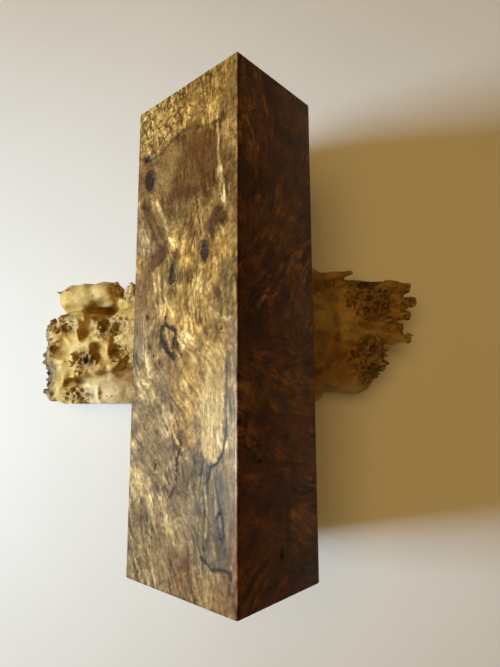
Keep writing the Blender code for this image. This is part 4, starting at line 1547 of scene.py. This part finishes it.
    def add_spikes(self, thing: Piece) -> None:
        """Fuse short spikes to the skin, in patches.

        Args:
            thing: The skin.
        """
        draw = random.Random(self.seed)
        spikes: list[tuple[Vector, Vector, float]] = []
        for centre, (half_x, half_y), count, lean, length, radius in self.spike_patches:
            direction = Vector(lean).normalized()
            side = direction.cross(Vector((0.0, 1.0, 0.0))).normalized()
            other = direction.cross(side)
            for _ in range(int(count)):
                angle = draw.uniform(0.0, math.tau)
                reach = math.sqrt(draw.uniform(0.0, 1.0))
                across = side * (half_x * reach * math.cos(angle))
                along = other * (half_y * reach * math.sin(angle))
                point = self.surface_point(thing, Vector(centre) + across + along, direction)
                spread = Vector((draw.uniform(-0.6, 0.6), draw.uniform(-0.6, 0.6), draw.uniform(-0.3, 0.5)))
                size = draw.uniform(*self.thorn_size)
                if point is not None:
                    pointing = (direction + spread).normalized()
                    root = point - pointing * length * self.thorn_root
                    tip = point + pointing * length * size * self.thorn_tip
                    spikes.append((root, tip, radius * size * self.thorn_width))
        thorns = self.start_piece("thorns")
        for root, tip, radius in spikes:
            self.add_horn(root, tip, radius, sides=8, tip_share=0.15)
        bpy.ops.object.mode_set(mode="OBJECT")
        apply_modifier(thorns, "REMESH", mode="VOXEL", voxel_size=self.voxel * self.thorn_voxel)
        apply_modifier(thing, "BOOLEAN", operation="UNION", object=thorns, solver="MANIFOLD")
        bpy.data.objects.remove(thorns, do_unlink=True)

    def fit_length(self, thing: Piece) -> None:
        """Stretch the skin along X to the length of the CAD node.

        Args:
            thing: The skin.
        """
        places = vertex_places(thing)
        low = places[:, 0].min()
        high = places[:, 0].max()
        places[:, 0] = (places[:, 0] - low) * 2.0 * self.half_length / (high - low) - self.half_length
        move_vertices(thing, places)

    def thin(self, thing: Piece) -> None:
        """Decimate the skin when it has more than most_triangles triangles.

        Args:
            thing: The skin.
        """
        thing.data.calc_loop_triangles()
        count = len(thing.data.loop_triangles)
        if count > self.most_triangles:
            apply_modifier(thing, "DECIMATE", ratio=self.most_triangles / count)

    def saw(self, thing: Piece) -> None:
        """Saw the base, the near side and the groove.

        Args:
            thing: The skin.
        """
        blank = Blank()
        span = self.saw_span
        gap = 2.0 * self.seat_gap
        groove = (blank.narrow + gap, span, blank.wide + gap)
        saws = (
            ((0.0, 0.0, -span / 2.0), (span, span, span), 0.0),
            ((0.0, self.sawn_side - span / 2.0, 0.0), (span, span, span), 0.0),
            (blank.centre, groove, blank.tilt),
        )
        for centre, size, tilt in saws:
            deselect_all()
            bpy.ops.mesh.primitive_cube_add(size=1.0, location=centre, rotation=(0.0, tilt, 0.0), scale=size)
            cutter = bpy.context.object
            apply_modifier(thing, "BOOLEAN", operation="DIFFERENCE", object=cutter, solver="MANIFOLD")
            bpy.data.objects.remove(cutter, do_unlink=True)

    def depth_below(self, thing: Piece, rounds: int, scale: float) -> Array:
        """Measure how far each vertex lies below its smoothed surroundings.

        Args:
            thing: The stand.
            rounds: How often the surroundings are averaged.
            scale: Depth that counts as 1.

        Returns:
            One value for each vertex, positive in hollows and negative on crests.
        """
        edges = np.empty(len(thing.data.edges) * 2, dtype=np.int64)
        thing.data.edges.foreach_get("vertices", edges)
        one, two = edges.reshape(-1, 2).T
        places = vertex_places(thing)
        count = len(places)
        degree = np.bincount(one, minlength=count) + np.bincount(two, minlength=count)
        smooth = places.copy()
        for _ in range(rounds):
            total = np.column_stack([
                np.bincount(one, smooth[two, axis], count) + np.bincount(two, smooth[one, axis], count)
                for axis in range(3)
            ])
            smooth = 0.5 * smooth + 0.5 * total / np.maximum(degree, 1)[:, None]
        return np.sum((smooth - places) * vertex_normals(thing), axis=1) / scale

    def paint(self, thing: Piece) -> None:
        """Give each vertex its colour, its depth and its roughness.

        Args:
            thing: The stand.
        """
        places = vertex_places(thing)
        rough = self.roughness_of(places)
        hollow = sum(self.depth_below(thing, rounds, scale) * share for rounds, scale, share in self.surroundings)
        hollow = np.clip(hollow, -self.deepest, self.deepest)
        height = places[:, 2]
        drift, edge, patches = (fractal_noise(places, *row) for row in ((0.009, 3, 21), (0.003, 2, 23), (0.003, 2, 22)))
        far_side = ease_between(0.01, 0.03, places[:, 0])
        blotches = ease_between(0.05, 0.7, fractal_noise(places, 0.0045, 3, 24))
        chalk = 1.0 - ease_between(0.004, 0.009, np.hypot((places[:, 0] + 0.034) * 0.5, places[:, 1] + 0.0165))
        margin = ease_between(-0.0535, -0.0575, places[:, 0] + 0.0015 * edge)
        layers = (
            (Tone.HONEY, ease_between(-0.3, 0.7, drift)),
            (Tone.AMBER, 0.78 * far_side * (1.0 + 0.5 * drift)),
            (Tone.UMBER, 0.55 * blotches * far_side),
            (Tone.CHALK, 0.7 * chalk),
            (Tone.BARK, 0.85 * margin * (1.0 - ease_between(0.013, 0.017, height))),
            (Tone.AMBER, 0.45 * rough * ease_between(-0.2, 0.6, patches)),
            # painted shade: darker amber on the lowest 6 mm, next to the floor
            (Tone.AMBER, 0.4 * ease_between(0.006, 0.0, height)),
            # umber in the hollows of the rough growth on the far side: partly the dark pits of the growth, partly
            # painted shade
            (Tone.UMBER, 0.75 * rough * far_side * ease_between(-0.35, 0.45, hollow)),
        )
        colour = np.tile(np.array(Tone.STRAW.value), (len(places), 1))
        for tone, share in layers:
            colour = blend_tone(colour, tone, share)
        for centre, radii in self.bark_flecks:
            reach = Spot(*centre, *radii).reach(places)
            colour = blend_tone(colour, Tone.BARK, 0.8 * (1.0 - ease_between(0.6, 1.3, reach + 0.3 * drift)))
        store_values(thing, "tone", colour)
        store_values(thing, "hollow", hollow)
        store_values(thing, "rough", rough)

    def dress(self, thing: Piece, raw: Material, sawn: Material) -> None:
        """Give the growth and the sawn faces their materials.

        Args:
            thing: The stand.
            raw: Material of the growth.
            sawn: Material of the sawn faces.
        """
        make_active(thing)
        bpy.ops.object.shade_smooth_by_angle(angle=self.smooth_angle)
        thing.data.materials.clear()
        thing.data.materials.append(raw)
        thing.data.materials.append(sawn)
        blank = Blank()
        walls = [(Vector((0, 0, -1)), 0.0), (Vector((0, -1, 0)), -self.sawn_side)]
        for axis, half in ((Vector((1, 0, 0)), blank.narrow / 2.0), (Vector((0, 0, -1)), blank.wide / 2.0)):
            normal = blank.turn() @ axis
            walls.append((-normal, -(blank.centre.dot(normal) + half + self.seat_gap)))
        for polygon in thing.data.polygons:
            for normal, reach in walls:
                offset = abs(polygon.center.dot(normal) - reach)
                if polygon.normal.dot(normal) > self.flat_cosine and offset < self.flat_reach:
                    polygon.material_index = 1


def blend_tone(colour: Array, tone: Tone, share: Array) -> Array:
    """Return colours moved towards a tone by a share each."""
    weight = np.clip(share, 0.0, 1.0)[:, None]
    return colour * (1.0 - weight) + np.array(tone.value) * weight


@dataclass(frozen=True)
class Studio:
    """Pale floor, soft light and the camera."""

    floor_size: float = 6.0
    floor_colour: Colour = (0.80, 0.80, 0.785)
    camera_place: Point3 = (-0.00292, -0.02072, 0.1683)
    camera_forward: Point3 = (0.0521, 0.1443, -0.9882)
    camera_up: Point3 = (-0.004, 0.99, 0.144)
    focal_pixels: float = 491.7
    picture_height: float = 667.0
    sensor: float = 36.0
    floor_roughness: float = 0.8
    floor_shine: float = 0.2
    light_aim: Point3 = (-0.04, -0.01, 0.02)
    room_colour: Colour = (1.0, 0.63, 0.24)
    room_strength: float = 0.10

    def build(self) -> None:
        """Build the floor, the lights and the camera."""
        self.add_floor()
        self.add_lights()
        self.add_camera()
        bpy.context.scene.view_settings.view_transform = "Standard"

    def add_floor(self) -> None:
        """Lay the pale floor under the stand."""
        deselect_all()
        bpy.ops.mesh.primitive_plane_add(size=self.floor_size)
        floor = bpy.context.object
        floor.name = "floor"
        material, shade, shader = new_material("pale_floor")
        place = shade.node("ShaderNodeTexCoord").outputs["Object"]
        cloud = shade.noise(place, 9.0, 4.0)
        pale = self.floor_colour
        shade_of = tuple(part * 0.95 for part in pale)
        colour = shade.mix(shade.ramp(cloud, 0.3, 0.7), pale, shade_of)
        shade.feed(shader.inputs["Base Color"], colour)
        shader.inputs["Roughness"].default_value = self.floor_roughness
        shader.inputs["Specular IOR Level"].default_value = self.floor_shine
        floor.data.materials.append(material)

    def add_light(self, name: str, place: Point3, size: Point2, energy: float, colour: Colour, spread: float) -> None:
        """Hang a soft lamp that faces the piece.

        Args:
            name: The lamp's name.
            place: Where it hangs.
            size: Its width and height.
            energy: Its power, in watts.
            colour: Its colour.
            spread: The angle of its beam, in degrees.
        """
        light = bpy.data.lights.new(name, "AREA")
        light.spread = math.radians(spread)
        light.shape = "RECTANGLE"
        light.size, light.size_y = size
        light.energy = energy
        light.color = colour
        lamp = bpy.data.objects.new(name, light)
        lamp.visible_camera = False
        lamp.location = place
        lamp.rotation_euler = (Vector(self.light_aim) - Vector(place)).to_track_quat("-Z", "Y").to_euler()
        bpy.context.scene.collection.objects.link(lamp)

    def add_lights(self) -> None:
        """Hang a low white key light at the left and a weak warm light above."""
        self.add_light("key", (-0.50, -0.07, 0.22), (0.14, 0.14), 0.65, (0.673, 0.85, 1.0), 60.0)
        self.add_light("warm_top", (-0.35, 0.10, 1.20), (0.9, 0.9), 6.0, (1.0, 0.61, 0.18), 180.0)
        world = bpy.data.worlds.new("room")
        bpy.context.scene.world = world
        world.use_nodes = True
        background = world.node_tree.nodes["Background"]
        background.inputs["Color"].default_value = (*self.room_colour, 1.0)
        background.inputs["Strength"].default_value = self.room_strength

    def add_camera(self) -> None:
        """Put the camera where the photograph was taken from."""
        forward = Vector(self.camera_forward).normalized()
        right = forward.cross(Vector(self.camera_up)).normalized()
        up = right.cross(forward).normalized()
        data = bpy.data.cameras.new("camera")
        data.sensor_width = self.sensor
        data.lens = self.focal_pixels / self.picture_height * self.sensor
        data.clip_start = 0.005
        camera = bpy.data.objects.new("camera", data)
        matrix = Matrix((right, up, -forward)).transposed().to_4x4()
        matrix.translation = Vector(self.camera_place)
        camera.matrix_world = matrix
        bpy.context.scene.collection.objects.link(camera)
        bpy.context.scene.camera = camera


def hand_over(piece: Piece, node: str) -> None:
    """Let a piece stand for a CAD node: hide the node and hang the piece under the root body.

    Args:
        piece: The finished piece.
        node: The CAD node that it replaces.
    """
    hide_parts(node)
    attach(piece, "root")
    piece.data.calc_loop_triangles()
    LOG.info("%s: %d triangles", piece.name, len(piece.data.loop_triangles))


def main() -> None:
    """Build the studio, the blank and its stand."""
    logging.basicConfig(level=logging.INFO, format="%(message)s")
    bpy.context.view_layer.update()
    Studio().build()
    groups = WoodGroups.build()
    blank = Blank().build(PolishedFinish().build(groups))
    hand_over(blank, "burl_block")
    stand = RawStand().build(RawFinish().build(groups), SawnFinish().build(groups))
    hand_over(stand, "burl_stand")


if __name__ == "__main__":
    main()
